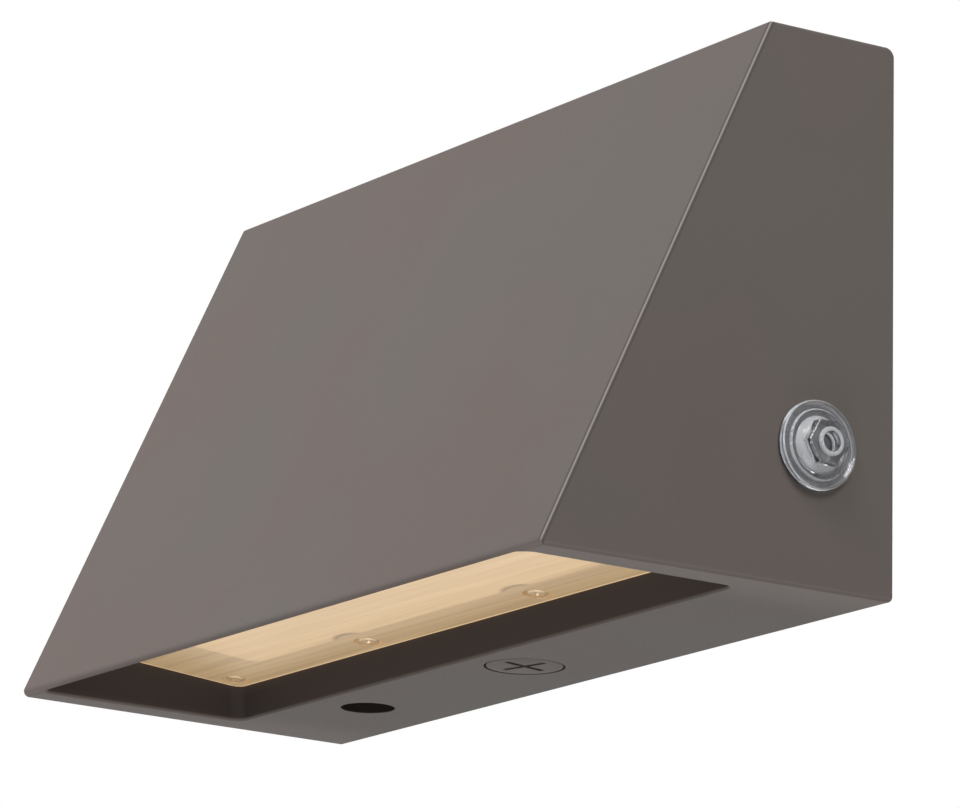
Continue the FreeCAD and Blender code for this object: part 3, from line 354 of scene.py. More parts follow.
def plainFinish(name):
    look = plainFinishes[name]
    material, tree, shader = startMaterial(name)
    stretch = look.get("stretch", (1, 1, 1))
    patches = noise(tree, look["patch"], detail=3.0, stretch=stretch)
    patches = remap(tree, patches, *patchRange)
    feed(tree, shader.inputs["Base Color"], mixColour(tree, patches, look["colour"], look["shade"]))
    grain = noise(tree, look["grain"], detail=3.0, stretch=stretch)
    feed(tree, shader.inputs["Roughness"], remap(tree, grain, *noiseRange, *look["rough"]))
    bumped(tree, shader, grain, look["depth"])
    setSockets(shader, look.get("sockets", {}))
    return material


paint = {
    "brown": (0.166, 0.136, 0.126),
    "grey": (0.158, 0.143, 0.129),
    "patch": 90.0,  # size of the patches of brown and grey
    "speck": (0.225, 0.195, 0.182),
    "speckRange": (0.55, 0.75),  # values of the fine noise where specks begin and are full
    "speckShare": 0.35,
    "grain": 0.55,
    "fineGrain": 0.18,
    "fineShare": 0.4,  # of the fine grain in the relief
    "depth": 0.030,
    "rough": (0.44, 0.56),
    "specular": 0.07,
    "underEndLight": (0.240, 0.202, 0.187),  # painted light: the underside grows lighter towards its ends
    "underWidth": 32.0,
    "underReach": (0.4, 1.4),  # heights over which that fades
    "besideEdgeShade": (0.112, 0.100, 0.094),  # painted shade: thin darker lines along the slope's ends
    "besideWidth": (0.5, 0.8, 1.0, 1.5),  # from the edge: begins, full, fades, ends
    "besideReach": (0.3, 0.8),  # distances below the faces over which they fade
    "edgeHighlight": (0.37, 0.345, 0.33),  # painted highlight: a thin bright line between those
    "edgeWidth": (0.12, 0.50),
    "edgeReach": (0.4, 0.9),
    "halfWidth": 140.0,  # of the housing at its rear rim
    "endDraft": math.tan(math.radians(1.0)),  # its ends draw in by this forward of the rim
    "baseDepth": 120.0,  # of the sloping front at the underside
    "topDepth": 44.0,
    "height": 162.0,
    "recessShade": (0.076, 0.066, 0.068),  # painted shade inside the lens recess
    "recessBack": 46.1,  # depth of its mouth's back edge
    "recessHalf": 128.4,
    "recessTop": 16.5,
    "recessSoft": 0.8,
    "recessMouth": (0.25, 1.1),  # heights over which its painted shade begins
    "lip": 1.5,  # it begins this far behind the sloping front
    "holeShade": (0.034, 0.027, 0.024),  # painted shade inside the lock's hole
    "holeRadius": 8.5,
    "holeSoft": 0.3,
    "holeMouth": (0.05, 0.3),
    "holeEnd": (12.0, 13.0),
}
frontSlope = (paint["baseDepth"] - paint["topDepth"]) / paint["height"]


def housingPlace(tree):  # X, Y, height above the underside and distance in Y behind the slope
    x, y, z = placeParts(tree)
    up = maths(tree, "SUBTRACT", z, underside)
    face = maths(tree, "ADD", product(tree, up, frontSlope), depthY(paint["baseDepth"]))
    return x, y, up, maths(tree, "SUBTRACT", y, face)


def edgeLightMasks(tree):  # painted light on the underside's ends, shade lines beside the slope's end edges, highlight on them
    look = paint
    x, y, up, behindFace = housingPlace(tree)
    inSlope = product(tree, behindFace, 1 / math.hypot(1, frontSlope))
    half = maths(tree, "ADD", product(tree, y, look["endDraft"]),
                 look["halfWidth"] * mm - rimY * look["endDraft"])
    inEnd = maths(tree, "SUBTRACT", half, maths(tree, "ABSOLUTE", x))
    away = maths(tree, "ABSOLUTE", maths(tree, "SUBTRACT", inSlope, inEnd))
    nearest = maths(tree, "MINIMUM", inSlope, inEnd)
    underLight = product(tree, fadeOut(tree, inEnd, 0, look["underWidth"]),
                    fadeOut(tree, up, *look["underReach"]))
    start, full, fade, end = look["besideWidth"]
    besideShade = product(tree, fadeIn(tree, away, start, full), fadeOut(tree, away, fade, end),
                     fadeOut(tree, nearest, *look["besideReach"]))
    highlight = product(tree, fadeOut(tree, away, *look["edgeWidth"]),
                     fadeOut(tree, inSlope, *look["edgeReach"]))
    return underLight, besideShade, highlight


def recessShadeMasks(tree):  # painted shade: 1 on the walls of the lens recess, and of the lock's hole
    look = paint
    x, y, up, behindFace = housingPlace(tree)
    soft, half, top = look["recessSoft"], look["recessHalf"], look["recessTop"]
    pastBack = maths(tree, "SUBTRACT", y, depthY(look["recessBack"]))
    recessWallShade = product(tree, fadeIn(tree, behindFace, look["lip"], look["lip"] + soft),
                    fadeOut(tree, pastBack, -soft / 2, soft / 2),
                    fadeOut(tree, maths(tree, "ABSOLUTE", x), half - soft, half),
                    fadeIn(tree, up, *look["recessMouth"]), fadeOut(tree, up, top - soft, top))
    away = distanceTo(tree, joined(tree, x, y), *lockPlace)
    radius = look["holeRadius"]
    holeShadeMask = product(tree, fadeOut(tree, away, radius, radius + look["holeSoft"]),
                   fadeIn(tree, up, *look["holeMouth"]), fadeOut(tree, up, *look["holeEnd"]))
    return recessWallShade, holeShadeMask


def housingPaint():
    look = paint
    material, tree, shader = startMaterial("housing_paint")
    patches = remap(tree, noise(tree, look["patch"]), *noiseRange)
    colour = mixColour(tree, patches, look["brown"], look["grey"])
    grain = noise(tree, look["grain"], detail=3.0)
    fine = noise(tree, look["fineGrain"])
    specks = remap(tree, fine, *look["speckRange"], 0.0, look["speckShare"])
    colour = mixColour(tree, specks, colour, look["speck"])
    # painted light and shade: lighter underside ends, shade lines and a highlight at the slope's
    # end edges, shade in the recess and the lock's hole
    places = ("underEndLight", "besideEdgeShade", "edgeHighlight", "recessShade", "holeShade")
    for place, mask in zip(places, edgeLightMasks(tree) + recessShadeMasks(tree)):
        colour = mixColour(tree, mask, colour, look[place])
    feed(tree, shader.inputs["Base Color"], colour)
    feed(tree, shader.inputs["Roughness"], remap(tree, grain, *noiseRange, *look["rough"]))
    height = maths(tree, "ADD", grain, product(tree, fine, look["fineShare"]))
    bumped(tree, shader, height, look["depth"])
    setSockets(shader, {"Specular IOR Level": look["specular"]})
    return material


lensLook = {
    "cream": (0.72, 0.52, 0.30),
    "deepCream": (0.65, 0.46, 0.26),
    "streak": 2.0,  # width of the streaks of both
    "streakStretch": (0.03, 1, 1),  # long along X
    "screwHaloShade": (0.40, 0.27, 0.15),  # painted shade round the lens screws, with the darker bosses behind them
    "halo": (3.3, 4.9),
    "glow": (1.0, 0.68, 0.36),  # colour of the light that comes through
    "flangeGlow": 0.21,
    "panelGlow": 0.36,
    "edgeGlow": 0.55,  # more along the outline
    "streakGlow": 0.03,
    "notchShade": 0.14,  # less along the panel's notches
    "screwShade": 0.6,  # share left at a screw
    "screwFade": (3.2, 5.0),
    "screwDepths": (54.3, 105.4),  # depths here are those of the tilted lens
    "panelHalf": 94.4,  # the part with the panel's glow
    "panelDepths": (62.2, 101.5),
    "panelRound": 3.5,
    "panelSoft": 0.8,
    "outlineDepths": (47.9, 110.4),
    "edge": 1.4,  # width of the line along the outline
    "notch": 11.0,  # radius
    "notchLine": 1.3,
    "relief": 0.01,
    "rough": 0.36,
}


def screwDistance(tree):  # distance from the nearest lens screw
    x, y = placeParts(tree)[:2]
    point = joined(tree, maths(tree, "ABSOLUTE", x), y)
    nearest = 1.0
    for screwX in sorted({abs(place) for place in lensShape["screwX"]}):
        for depth in lensLook["screwDepths"]:
            nearest = maths(tree, "MINIMUM", nearest, distanceTo(tree, point, screwX, depth))
    return nearest


def roundedBoxDistance(tree, halfX, depths, rounding):  # to an outline, under 0 inside it
    x, y = placeParts(tree)[:2]
    middle = depthY(sum(depths) / 2)
    halfY = (depths[1] - depths[0]) / 2
    past = []
    for value, centre, half in ((x, 0.0, halfX), (y, middle, halfY)):
        away = maths(tree, "ABSOLUTE", maths(tree, "SUBTRACT", value, centre))
        beyond = maths(tree, "SUBTRACT", away, (half - rounding) * mm)
        past.append(maths(tree, "MAXIMUM", beyond, 0.0))
    length = tree.nodes.new("ShaderNodeVectorMath")
    length.operation = "LENGTH"
    tree.links.new(joined(tree, *past), length.inputs[0])
    return maths(tree, "SUBTRACT", length.outputs["Value"], rounding * mm)


def diffuser():
    look = lensLook
    material, tree, shader = startMaterial("diffuser")
    gap = screwDistance(tree)
    fromPanel = roundedBoxDistance(tree, look["panelHalf"], look["panelDepths"],
                                   look["panelRound"])
    fromOutline = roundedBoxDistance(tree, lensShape["halfWidth"], look["outlineDepths"],
                                     lensShape["rounding"])
    soft, notch, line = look["panelSoft"], look["notch"], look["notchLine"]
    panel = fadeOut(tree, fromPanel, -soft, soft)
    shade = product(tree, panel, fadeIn(tree, gap, notch - 2 * line, notch - line),
                    fadeOut(tree, gap, notch - line, notch))
    panel = product(tree, panel, fadeIn(tree, gap, notch - soft, notch + soft))
    edge = fadeIn(tree, fromOutline, -look["edge"], 0)
    streaks = noise(tree, look["streak"], detail=4.0, stretch=look["streakStretch"])
    streaks = remap(tree, streaks, *noiseRange)
    cream = mixColour(tree, streaks, look["deepCream"], look["cream"])
    # painted shade round the lens screws
    cream = mixColour(tree, fadeIn(tree, gap, *look["halo"]), look["screwHaloShade"], cream)
    feed(tree, shader.inputs["Base Color"], cream)
    strength = look["flangeGlow"]
    for mask, added in ((panel, look["panelGlow"] - look["flangeGlow"]),
                        (edge, look["edgeGlow"]), (shade, -look["notchShade"]),
                        (maths(tree, "SUBTRACT", streaks, 0.5), 2 * look["streakGlow"])):
        strength = maths(tree, "ADD", strength, product(tree, mask, added))
    strength = product(tree, strength, fadeIn(tree, gap, *look["screwFade"], look["screwShade"]))
    feed(tree, shader.inputs["Emission Strength"], strength)
    bumped(tree, shader, streaks, look["relief"])
    setSockets(shader, {"Roughness": look["rough"], "Emission Color": (*look["glow"], 1.0)})
    return material


windowLooks = {
    "clear_plastic": {"colour": (0.84, 0.85, 0.88), "haze": (0.76, 0.77, 0.81),
                      "rough": (0.03, 0.10), "transmission": 0.92},
    "frosted_plastic": {"colour": (0.76, 0.77, 0.80), "haze": (0.66, 0.67, 0.70),
                        "rough": (0.16, 0.30), "transmission": 0.25},
}
windowGrain = {"cloud": 2.5, "fine": 0.8, "depth": 0.004, "refraction": 1.49}  # of both


def windowPlastic(name):
    look = windowLooks[name]
    material, tree, shader = startMaterial(name)
    clouds = noise(tree, windowGrain["cloud"])
    feed(tree, shader.inputs["Base Color"],
         mixColour(tree, clouds, look["colour"], look["haze"]))
    feed(tree, shader.inputs["Roughness"], remap(tree, clouds, *noiseRange, *look["rough"]))
    bumped(tree, shader, noise(tree, windowGrain["fine"]), windowGrain["depth"])
    setSockets(shader, {"Transmission Weight": look["transmission"],
                        "IOR": windowGrain["refraction"]})
    return material


def makeFinishes():
    made = {name: plainFinish(name) for name in plainFinishes}
    made["housing_paint"] = housingPaint()
    made["diffuser"] = diffuser()
    for name in windowLooks:
        made[name] = windowPlastic(name)
    return made


def dressNodes():
    slots = {part["node"]: part["material_slot"] for part in frame["record"]["subparts"]}
    for name, node in nodes.items():
        for holder in node.material_slots:
            holder.material = finishes[slots[name]]


# helpers for the new pieces: each is drawn about its own Z axis in mm, then put in place

weldGap = 1e-4  # points nearer than this, in millimetres, are merged
cutGap = 1e-5  # and nearer than this to a cut, they lie on it
crestShare, rootShare = 0.12, 0.16  # widths of a thread's crest and root, in pitches


def circleOf(bm, radius, height, steps=48, centre=(0.0, 0.0)):
    place = Matrix.Translation((centre[0], centre[1], height))
    verts = bmesh.ops.create_circle(bm, cap_ends=False, segments=steps, radius=radius,
                                    matrix=place)["verts"]
    return list({edge for vert in verts for edge in vert.link_edges})


def growLoop(bm, edges, lift, wide=1.0, deep=None, centre=(0.0, 0.0)):
    made = bmesh.ops.extrude_edge_only(bm, edges=edges)["geom"]  # a new loop joined to the last
    verts = [item for item in made if isinstance(item, bmesh.types.BMVert)]
    space = Matrix.Translation((-centre[0], -centre[1], 0))
    bmesh.ops.scale(bm, vec=(wide, deep or wide, 1), verts=verts, space=space)
    bmesh.ops.translate(bm, vec=(0, 0, lift), verts=verts)
    chosen = set(verts)
    return [item for item in made
            if isinstance(item, bmesh.types.BMEdge) and chosen.issuperset(item.verts)]


def growAlong(bm, edges, start, profile, centre=(0.0, 0.0)):  # follows (radius, height) points
    radius, height = start
    for nextRadius, nextHeight in profile:
        edges = growLoop(bm, edges, nextHeight - height, nextRadius / radius, centre=centre)
        radius, height = nextRadius, nextHeight
    return edges


def fillBetween(bm, edges):
    bmesh.ops.triangle_fill(bm, use_beauty=True, use_dissolve=False, edges=edges)


def closeLoop(bm, edges):
    bmesh.ops.edgeloop_fill(bm, edges=edges)


def joinLoops(bm, first, second):
    bmesh.ops.bridge_loops(bm, edges=first + second)


def turnAbout(bm, verts, degrees):
    bmesh.ops.rotate(bm, cent=(0, 0, 0), verts=verts,
                     matrix=Matrix.Rotation(math.radians(degrees), 3, "Z"))


def openPolygon(bm, corners, height, turn=0.0):  # closed loop of edges without a face
    verts = [bm.verts.new((x, y, height)) for x, y in corners]
    face = bm.faces.new(verts)
    edges = face.edges[:]
    turnAbout(bm, verts, turn)
    bmesh.ops.delete(bm, geom=[face], context="FACES_ONLY")
    return edges


def crossLoop(bm, half, width, height, turn):
    side = width / 2
    corners = []
    for quarter in range(4):
        spin = Matrix.Rotation(math.radians(90 * quarter), 2)
        corners += [spin @ Vector(point) for point in ((half, -side), (half, side),
                                                       (side, side))]
    return openPolygon(bm, corners, height, turn)


def hexLoop(bm, acrossFlats, height, turn=0.0):
    edges = circleOf(bm, acrossFlats / math.sqrt(3), height, steps=6)
    turnAbout(bm, list({vert for edge in edges for vert in edge.verts}), turn)
    return edges


def roundRim(radius, face, rounding, steps):  # from the flat face out to the full radius
    points = []
    for index in range(1, steps + 1):
        angle = math.pi / 2 * index / steps
        points.append((radius - rounding + rounding * math.sin(angle),
                       face + rounding * (1 - math.cos(angle))))
    return points


def threadOn(bm, thread, low, high, steps):  # between two heights; gives the loops at its ends
    major, minor, pitch = thread
    crest, root = pitch * crestShare, pitch * rootShare
    points = [(minor, 0.0), (minor, root), (major, pitch / 2 - crest / 2 + root / 2),
              (major, pitch / 2 + crest / 2 + root / 2), (minor, pitch)]
    before = set(bm.verts)
    verts = [bm.verts.new((radius, 0, low - pitch + height)) for radius, height in points]
    edges = [bm.edges.new(pair) for pair in zip(verts, verts[1:])]
    turns = math.ceil((high - low) / pitch) + 1
    bmesh.ops.spin(bm, geom=verts + edges, angle=2 * math.pi * turns, steps=steps * turns,
                   axis=(0, 0, 1), cent=(0, 0, 0), dvec=(0, 0, pitch / steps),
                   use_merge=False, use_duplicate=False)
    spun = [vert for vert in bm.verts if vert not in before and vert not in verts]
    bmesh.ops.remove_doubles(bm, verts=spun + verts, dist=weldGap)
    ends = []
    for height, way in ((low, -1), (high, 1)):
        ours = {vert for vert in bm.verts if vert not in before}
        geom = [item for group in (bm.verts, bm.edges, bm.faces) for item in group
                if ours.issuperset([item] if isinstance(item, bmesh.types.BMVert)
                                   else item.verts)]
        cut = bmesh.ops.bisect_plane(bm, geom=geom, dist=cutGap, plane_co=(0, 0, height),
                                     plane_no=(0, 0, way), clear_outer=True)
        ends.append([item for item in cut["geom_cut"] if isinstance(item, bmesh.types.BMEdge)])
    return ends


def repeatAt(bm, places):  # the finished shape at every place, a matrix each
    shape = bm.verts[:] + bm.edges[:] + bm.faces[:]
    first = bm.verts[:]
    for place in places[1:]:
        made = bmesh.ops.duplicate(bm, geom=shape)["geom"]
        verts = [item for item in made if isinstance(item, bmesh.types.BMVert)]
        bmesh.ops.transform(bm, matrix=place, verts=verts)
    bmesh.ops.transform(bm, matrix=places[0], verts=first)


def atPlace(x, depth, height):  # from a piece drawn in mm to its place on the light
    return Matrix.Translation((x * mm, depthY(depth), heightZ(height))) @ Matrix.Scale(mm, 4)


def finishPiece(bm, name, body, materials, node, smoothAngle=35.0):
    bmesh.ops.remove_doubles(bm, verts=bm.verts, dist=weldGap * mm)
    bmesh.ops.recalc_face_normals(bm, faces=bm.faces)
    mesh = bpy.data.meshes.new(name)
    bm.to_mesh(mesh)
    bm.free()
    for polygon in mesh.polygons:
        polygon.use_smooth = True
    mesh.set_sharp_from_angle(angle=math.radians(smoothAngle))
    for material in materials:
        mesh.materials.append(finishes[material])
    piece = bpy.data.objects.new(name, mesh)
    scene.collection.objects.link(piece)
    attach(piece, body)
    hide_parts(node)


# lens

lensShape = {
    "halfWidth": 126.3,
    "depths": (47.9, 110.66),  # back and front, before the lens is tilted
    "rounding": 3.7,
    "low": 10.2,  # height of its lower face
    "thickness": 3.0,
    "edgeRound": 0.35,
    "tilt": 5.0,  # degrees, front edge up
    "tiltDepth": 47.6,  # it turns about this line of its lower face
    "panelHalf": 95.0,  # the raised panel
    "panelDepths": (63.0, 98.6),
    "panelRound": 3.0,
    "panelNotch": 9.6,
    "panelTop": 14.4,
    "panelEdge": 0.3,
    "panelDraw": (0.997, 0.985),  # its top's width and depth, as shares
    "cornerSteps": 5,
    "notchSteps": 14,
    "screwX": (-118.8, -44.0, 44.0, 118.8),
    "screwDepths": (54.2, 105.6),
    # round each screw: radius at the lower face, then (radius, height) points from there up
    "counterboreMouth": 4.65,
    "counterbore": [(4.45, 0.12), (4.4, 0.3), (4.4, 1.7), (1.9, 1.7), (1.9, 3.0)],
    "counterboreSteps": 40,
}


def tiltedPlace(x, depth, height):
    look = lensShape
    pivot = Matrix.Translation((0, depthY(look["tiltDepth"]), heightZ(look["low"])))
    turn = Matrix.Rotation(-math.radians(look["tilt"]), 4, "X")
    return pivot @ turn @ pivot.inverted() @ atPlace(x, depth, height)


def roundedLoop(bm, halfX, halfY, rounding, height, steps=7):
    made = bmesh.ops.create_grid(bm, x_segments=1, y_segments=1, size=1.0)["verts"]
    bmesh.ops.scale(bm, vec=(halfX, halfY, 1), verts=made)
    bmesh.ops.translate(bm, vec=(0, 0, height), verts=made)
    corners = bmesh.ops.bevel(bm, geom=made, offset=rounding, offset_type="OFFSET",
                              segments=steps, profile=0.5, affect="VERTICES", material=-1)
    face = max({face for vert in corners["verts"] for face in vert.link_faces},
               key=lambda item: item.calc_area())
    edges = face.edges[:]
    bmesh.ops.delete(bm, geom=[face], context="FACES_ONLY")
    return edges


def arcPoints(centre, radius, start, end, steps):  # angles in radians
    return [(centre[0] + radius * math.cos(start + (end - start) * index / steps),
             centre[1] + radius * math.sin(start + (end - start) * index / steps))
            for index in range(steps + 1)]


def panelLoop(bm, height, middle):  # rounded rectangle, notched round the lens screws
    look = lensShape
    half, rounding, notch = look["panelHalf"], look["panelRound"], look["panelNotch"]
    steps, notchSteps = look["cornerSteps"], look["notchSteps"]
    corners = []
    for way, edge, screw in zip((1, -1), look["panelDepths"], look["screwDepths"]):
        side, centreY = middle - edge, middle - screw
        reach = math.sqrt(notch ** 2 - (side - centreY) ** 2)
        angle = math.atan2(side - centreY, reach)
        turn = math.pi / 2 * way  # both long sides are drawn anticlockwise
        corners += arcPoints((way * (half - rounding), side - way * rounding), rounding,
                             turn - math.pi / 2, turn, steps)
        for x in sorted(look["screwX"], reverse=way > 0):
            if abs(x) + reach < half:
                first, last = (angle, -math.pi - angle) if way > 0 else (math.pi - angle, angle)
                corners += arcPoints((x, centreY), notch, first, last, notchSteps)
        corners += arcPoints((-way * (half - rounding), side - way * rounding), rounding,
                             turn, turn + math.pi / 2, steps)
    return openPolygon(bm, corners, height)


def makeLens():
    look = lensShape
    bm = bmesh.new()
    back, front = look["depths"]
    middle = (back + front) / 2
    halfX, halfY = look["halfWidth"], (front - back) / 2
    thickness, edge, mouth = look["thickness"], look["edgeRound"], look["counterboreMouth"]
    outline = roundedLoop(bm, halfX - edge, halfY - edge, look["rounding"] - edge, 0)
    centres = [(x, middle - depth) for x in look["screwX"] for depth in look["screwDepths"]]
    mouths = [circleOf(bm, mouth, 0, look["counterboreSteps"], centre) for centre in centres]
    fillBetween(bm, outline + sum(mouths, []))
    top = []
    for loop, centre in zip(mouths, centres):
        top += growAlong(bm, loop, (mouth, 0), look["counterbore"], centre)
    wide, deep = halfX / (halfX - edge), halfY / (halfY - edge)
    side = growLoop(bm, outline, edge, wide, deep)
    side = growLoop(bm, side, thickness - 2 * edge)
    side = growLoop(bm, side, edge, 1 / wide, 1 / deep)
    panel = panelLoop(bm, thickness, middle)
    fillBetween(bm, side + top + panel)
    rise = look["panelTop"] - look["low"] - thickness
    panel = growLoop(bm, panel, rise - look["panelEdge"])
    panel = growLoop(bm, panel, look["panelEdge"], *look["panelDraw"],
                     (0, middle - sum(look["panelDepths"]) / 2))
    fillBetween(bm, panel)
    bmesh.ops.transform(bm, matrix=tiltedPlace(0, middle, look["low"]), verts=bm.verts)
    finishPiece(bm, "diffusing_lens", "housing", ["diffuser"], "lens", smoothAngle=25.0)


# screws: radii, and threads by their major radius, minor radius and pitch

lensScrew = {
    "head": 3.2,
    "rise": 0.1,  # the head's face, above the lens's lower face
    "headHeight": 1.3,
    "headRound": 0.7,
    "cross": (1.7, 0.75),  # half its length, and its width
    "crossDepth": 0.85,
    "crossDraw": 0.55,  # its bottom's width as a share
    "crossTurn": 20.0,
    "thread": (1.6, 1.22, 0.8),
    "length": 7.7,
    "tip": (0.4, 0.8),  # length, and its end's width as a share
}


def makeLensScrews():
    look = lensScrew
    bm = bmesh.new()
    flat = look["head"] - look["headRound"]
    outer = circleOf(bm, flat, 0, steps=32)
    cross = crossLoop(bm, *look["cross"], 0, look["crossTurn"])
    fillBetween(bm, outer + cross)
    bottom = growLoop(bm, cross, look["crossDepth"], look["crossDraw"])
    fillBetween(bm, bottom)
    top = look["headHeight"]
    rim = roundRim(look["head"], 0, look["headRound"], steps=5) + [(look["head"], top)]
    outer = growAlong(bm, outer, (flat, 0), rim)
    low, high = threadOn(bm, look["thread"], top, top + look["length"], steps=16)
    joinLoops(bm, outer, low)
    closeLoop(bm, growLoop(bm, high, *look["tip"]))
    repeatAt(bm, [tiltedPlace(x, depth, lensShape["low"] + look["rise"])
                  @ Matrix.Rotation(x + depth, 4, "Z")  # each stands turned in its own way
                  for x in lensShape["screwX"] for depth in lensShape["screwDepths"]])
    finishPiece(bm, "lens_screw_set", "housing", ["warm_steel"], "lens_screws")


lockScrew = {
    "head": 5.5,
    "headFrom": 4.6,  # height of the head's face
    "headTo": 7.9,
    "headRound": 1.0,
    "headChamfer": 0.15,
    "socket": 5.0,  # across the flats
    "socketDepth": 2.0,
    "socketEnd": (0.5, 0.3),  # depth of its point, and the width there as a share
    "shank": 2.5,
    "thread": (2.5, 2.05, 0.8),
    "threadFrom": 11.0,
    "runOut": 0.4,
    "threadTo": 31.1,
    "tip": (0.4, 0.82),
}


def makeLockScrew():
    look = lockScrew
    bm = bmesh.new()
    head, start, end = look["head"], look["headFrom"], look["headTo"]
    flat, chamfer = head - look["headRound"], look["headChamfer"]
    outer = circleOf(bm, flat, start)
    socket = hexLoop(bm, look["socket"], start)
    fillBetween(bm, outer + socket)
    bottom = growLoop(bm, socket, look["socketDepth"])
    closeLoop(bm, growLoop(bm, bottom, *look["socketEnd"]))
    rim = roundRim(head, start, look["headRound"], steps=6)
    rim += [(head, end - chamfer), (head - chamfer, end), (look["shank"], end),
            (look["shank"], look["threadFrom"])]
    outer = growAlong(bm, outer, (flat, start), rim)
    low, high = threadOn(bm, look["thread"], look["threadFrom"] + look["runOut"],
                         look["threadTo"], steps=32)
    joinLoops(bm, outer, low)
    closeLoop(bm, growLoop(bm, high, *look["tip"]))
    bmesh.ops.transform(bm, matrix=atPlace(*lockPlace, 0), verts=bm.verts)
    finishPiece(bm, "lock_screw_turned", "lock_screw", ["bright_steel"], "lock_screw")


# conduit plug

conduitPlug = {
    "place": (0.0, 27.8),  # X and depth
    "head": 11.5,
    "face": 0.05,
    "headTop": 2.2,
    "rounding": 0.3,
    "headChamfer": 0.1,
    "cross": (8.0, 2.0),
    "crossTop": 1.4,
    "crossTurn": 13.0,
    "thread": (10.4, 9.35, 1.814),
    "threadGaps": (0.6, 0.4),  # plain lengths below and above it
    "end": 12.5,
    "endChamfer": 0.3,
    "hollow": 8.0,
    "hollowFrom": 4.5,
    "hollowChamfer": 0.6,
    "steps": 96,
}


def makeConduitPlug():
    look = conduitPlug
    bm = bmesh.new()
    head, face, top, end = look["head"], look["face"], look["headTop"], look["end"]
    flat, chamfer, minor = head - look["rounding"], look["headChamfer"], look["thread"][1]
    outer = circleOf(bm, flat, face, look["steps"])
    cross = crossLoop(bm, *look["cross"], face, look["crossTurn"])
    fillBetween(bm, outer + cross)
    bottom = growLoop(bm, cross, look["crossTop"] - face)
    fillBetween(bm, bottom)
    rim = roundRim(head, face, look["rounding"], steps=4)
    rim += [(head, top - chamfer), (head - chamfer, top), (minor, top)]
    outer = growAlong(bm, outer, (flat, face), rim)
    below, above = look["threadGaps"]
    low, high = threadOn(bm, look["thread"], top + below, end - above, steps=64)
    joinLoops(bm, outer, low)
    mouth = minor - look["endChamfer"]
    inside = circleOf(bm, mouth, end, look["steps"])
    joinLoops(bm, high, inside)
    hollow, start, chamfer = look["hollow"], look["hollowFrom"], look["hollowChamfer"]
    inside = growAlong(bm, inside, (mouth, end),
                       [(hollow, end), (hollow, start + chamfer), (hollow - chamfer, start)])
    closeLoop(bm, inside)
    bmesh.ops.transform(bm, matrix=atPlace(*look["place"], 0), verts=bm.verts)
    finishPiece(bm, "threaded_plug", "conduit_plug", ["housing_paint"], "conduit_plug")


# light sensor on the right end: radii, and heights above the back of the window's flange

sensorWindow = {
    "place": (28.1, 40.6),  # depth, and height above the underside
    "flangeBack": 140.41,  # X, as neckEnd is
    "neckEnd": 126.0,
    "neck": 7.9,
    "neckBore": 6.2,
    "neckFloor": 2.0,  # the bore ends this far below the flange's back
    "flange": 12.8,
    "rings": [(12.8, 1.5), (12.72, 1.8), (12.5, 2.0), (12.1, 2.0), (11.8, 1.85), (11.45, 1.35),
              (11.1, 1.2), (10.6, 1.2), (10.35, 1.4), (10.2, 2.0), (9.95, 2.2), (9.6, 2.2),
              (9.35, 2.0), (9.1, 1.6), (8.8, 1.5), (8.3, 1.5), (8.0, 1.75)],
    "dome": [(7.75, 2.35), (7.45, 2.75), (7.2, 3.2)],
    "hexagon": 12.2,  # across the flats
    "hexagonTurn": 30.0,
    "hexagonFoot": 3.6,
    "hexagonFace": 6.6,
    "hexagonRound": 0.25,
    "stem": 4.2,
    "stemTop": 7.6,
    "stemRound": 0.45,
    "bore": 3.0,
    "boreMouth": 0.2,
    "boreEnd": 3.0,
    "boreChamfer": 0.5,
    # milky parts: radii from and to, and heights from and to
    "frosted": [(12.85, 12.3, 1.6, 2.1), (10.45, 9.9, 1.3, 2.3), (8.35, 6.0, 1.5, 3.65),
                (4.25, 2.9, 6.7, 7.7)],
    "steps": 96,
}


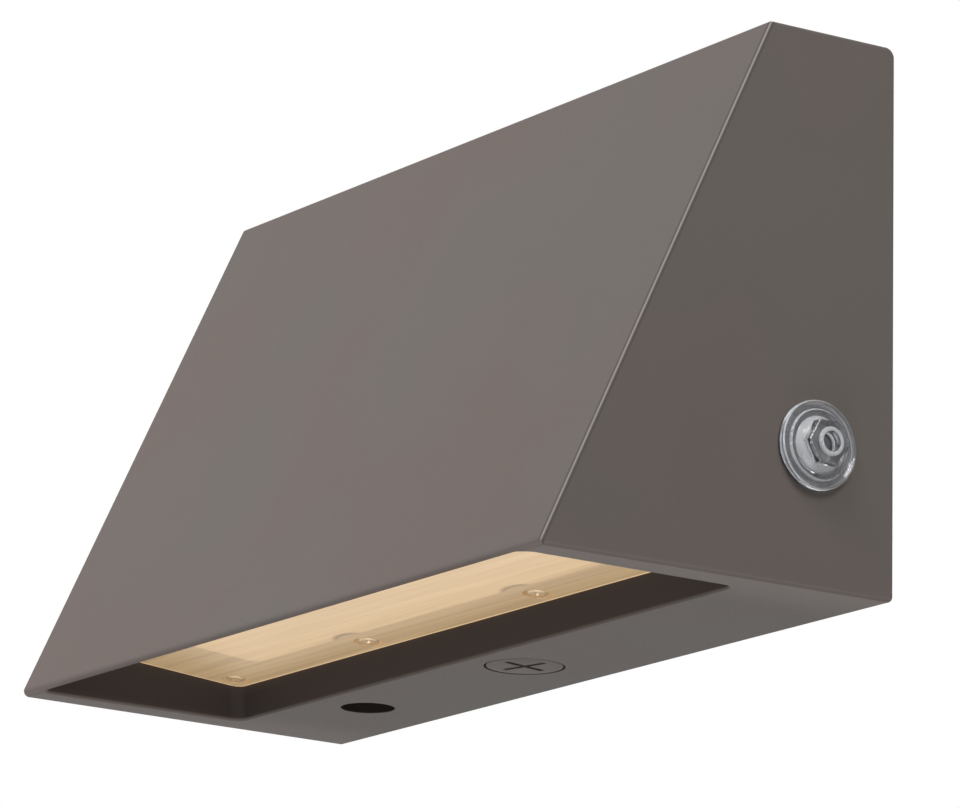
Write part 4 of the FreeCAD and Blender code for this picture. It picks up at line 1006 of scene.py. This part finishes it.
def makeSensorWindow():
    look = sensorWindow
    bm = bmesh.new()
    back, neckBore = look["flangeBack"], look["neckBore"]
    floor = back - look["neckFloor"]
    inside = circleOf(bm, neckBore, floor, look["steps"])
    closeLoop(bm, growLoop(bm, inside, 0, wide=0.05))
    profile = [(neckBore, look["neckEnd"]), (look["neck"], look["neckEnd"]),
               (look["neck"], back), (look["flange"], back)]
    profile += [(radius, back + height) for radius, height in look["rings"] + look["dome"]]
    edges = growAlong(bm, inside, (neckBore, floor), profile)
    size, foot, small = look["hexagon"], look["hexagonFoot"], look["hexagonRound"]
    side = hexLoop(bm, size, back + foot, look["hexagonTurn"])
    joinLoops(bm, edges, side)
    side = growLoop(bm, side, look["hexagonFace"] - foot - small)
    side = growLoop(bm, side, small, (size - 2 * small) / size)
    radius, top, rounding = look["stem"], back + look["stemTop"], look["stemRound"]
    stem = circleOf(bm, radius, back + look["hexagonFace"])
    fillBetween(bm, side + stem)
    rim = arcPoints((radius - rounding, top - rounding), rounding, 0, math.pi / 2, steps=5)
    bore, mouth, chamfer = look["bore"], look["boreMouth"], look["boreChamfer"]
    end = back + look["boreEnd"]
    rim += [(bore + mouth, top), (bore, top - mouth), (bore, end + chamfer),
            (bore - chamfer, end)]
    closeLoop(bm, growAlong(bm, stem, (radius, back + look["hexagonFace"]), rim))
    for face in bm.faces:
        spot = face.calc_center_median()
        away = math.hypot(spot.x, spot.y)
        for wide, narrow, low, high in look["frosted"]:
            if narrow <= away <= wide and low <= spot.z - back <= high:
                face.material_index = 1
    # the piece's own axis points to the right
    turn = Matrix(((0, 0, 1, 0), (1, 0, 0, 0), (0, 1, 0, 0), (0, 0, 0, 1)))
    bmesh.ops.transform(bm, matrix=atPlace(0, *look["place"]) @ turn, verts=bm.verts)
    finishPiece(bm, "sensor_window", "housing", ["clear_plastic", "frosted_plastic"],
                "photocell_window")


# light-emitting packages

ledPackage = {
    "rows": (71.0, 89.6),  # depths
    "count": 14,
    "pitch": 12.0,
    "size": 3.0,
    "top": 23.6,
    "height": 0.8,
    "rim": 0.35,
    "cup": 0.25,
    "round": 0.12,
}


def makeLedPackages():
    look = ledPackage
    bm = bmesh.new()
    verts = bmesh.ops.create_cube(bm, size=1.0)["verts"]
    bmesh.ops.scale(bm, vec=(look["size"], look["size"], look["height"]), verts=verts)
    upright = [edge for edge in bm.edges
               if abs(edge.verts[0].co.z - edge.verts[1].co.z) > look["height"] / 2]
    bmesh.ops.bevel(bm, geom=upright, offset=look["round"], offset_type="OFFSET", segments=2,
                    profile=0.5, affect="EDGES", material=-1)
    face = min(bm.faces, key=lambda item: item.calc_center_median().z)
    bmesh.ops.inset_region(bm, faces=[face], thickness=look["rim"], depth=0)
    bmesh.ops.inset_region(bm, faces=[face], thickness=look["cup"] / 2, depth=-look["cup"])
    face.material_index = 1
    middle = (look["count"] - 1) / 2
    repeatAt(bm, [atPlace((index - middle) * look["pitch"], depth, look["top"] - look["height"] / 2)
                  for depth in look["rows"] for index in range(look["count"])])
    finishPiece(bm, "led_packages", "housing", ["led_frame", "led_yellow"], "led_chips")


print("making the camera, floor and light")
makeCamera()
makeAir()
makeFloor()
makeLamps()
print("making the finishes")
finishes = makeFinishes()
dressNodes()
print("making the pieces")
makeLens()
makeLensScrews()
makeLockScrew()
makeConduitPlug()
makeSensorWindow()
makeLedPackages()
scene.view_settings.view_transform = "Standard"
print("finished")
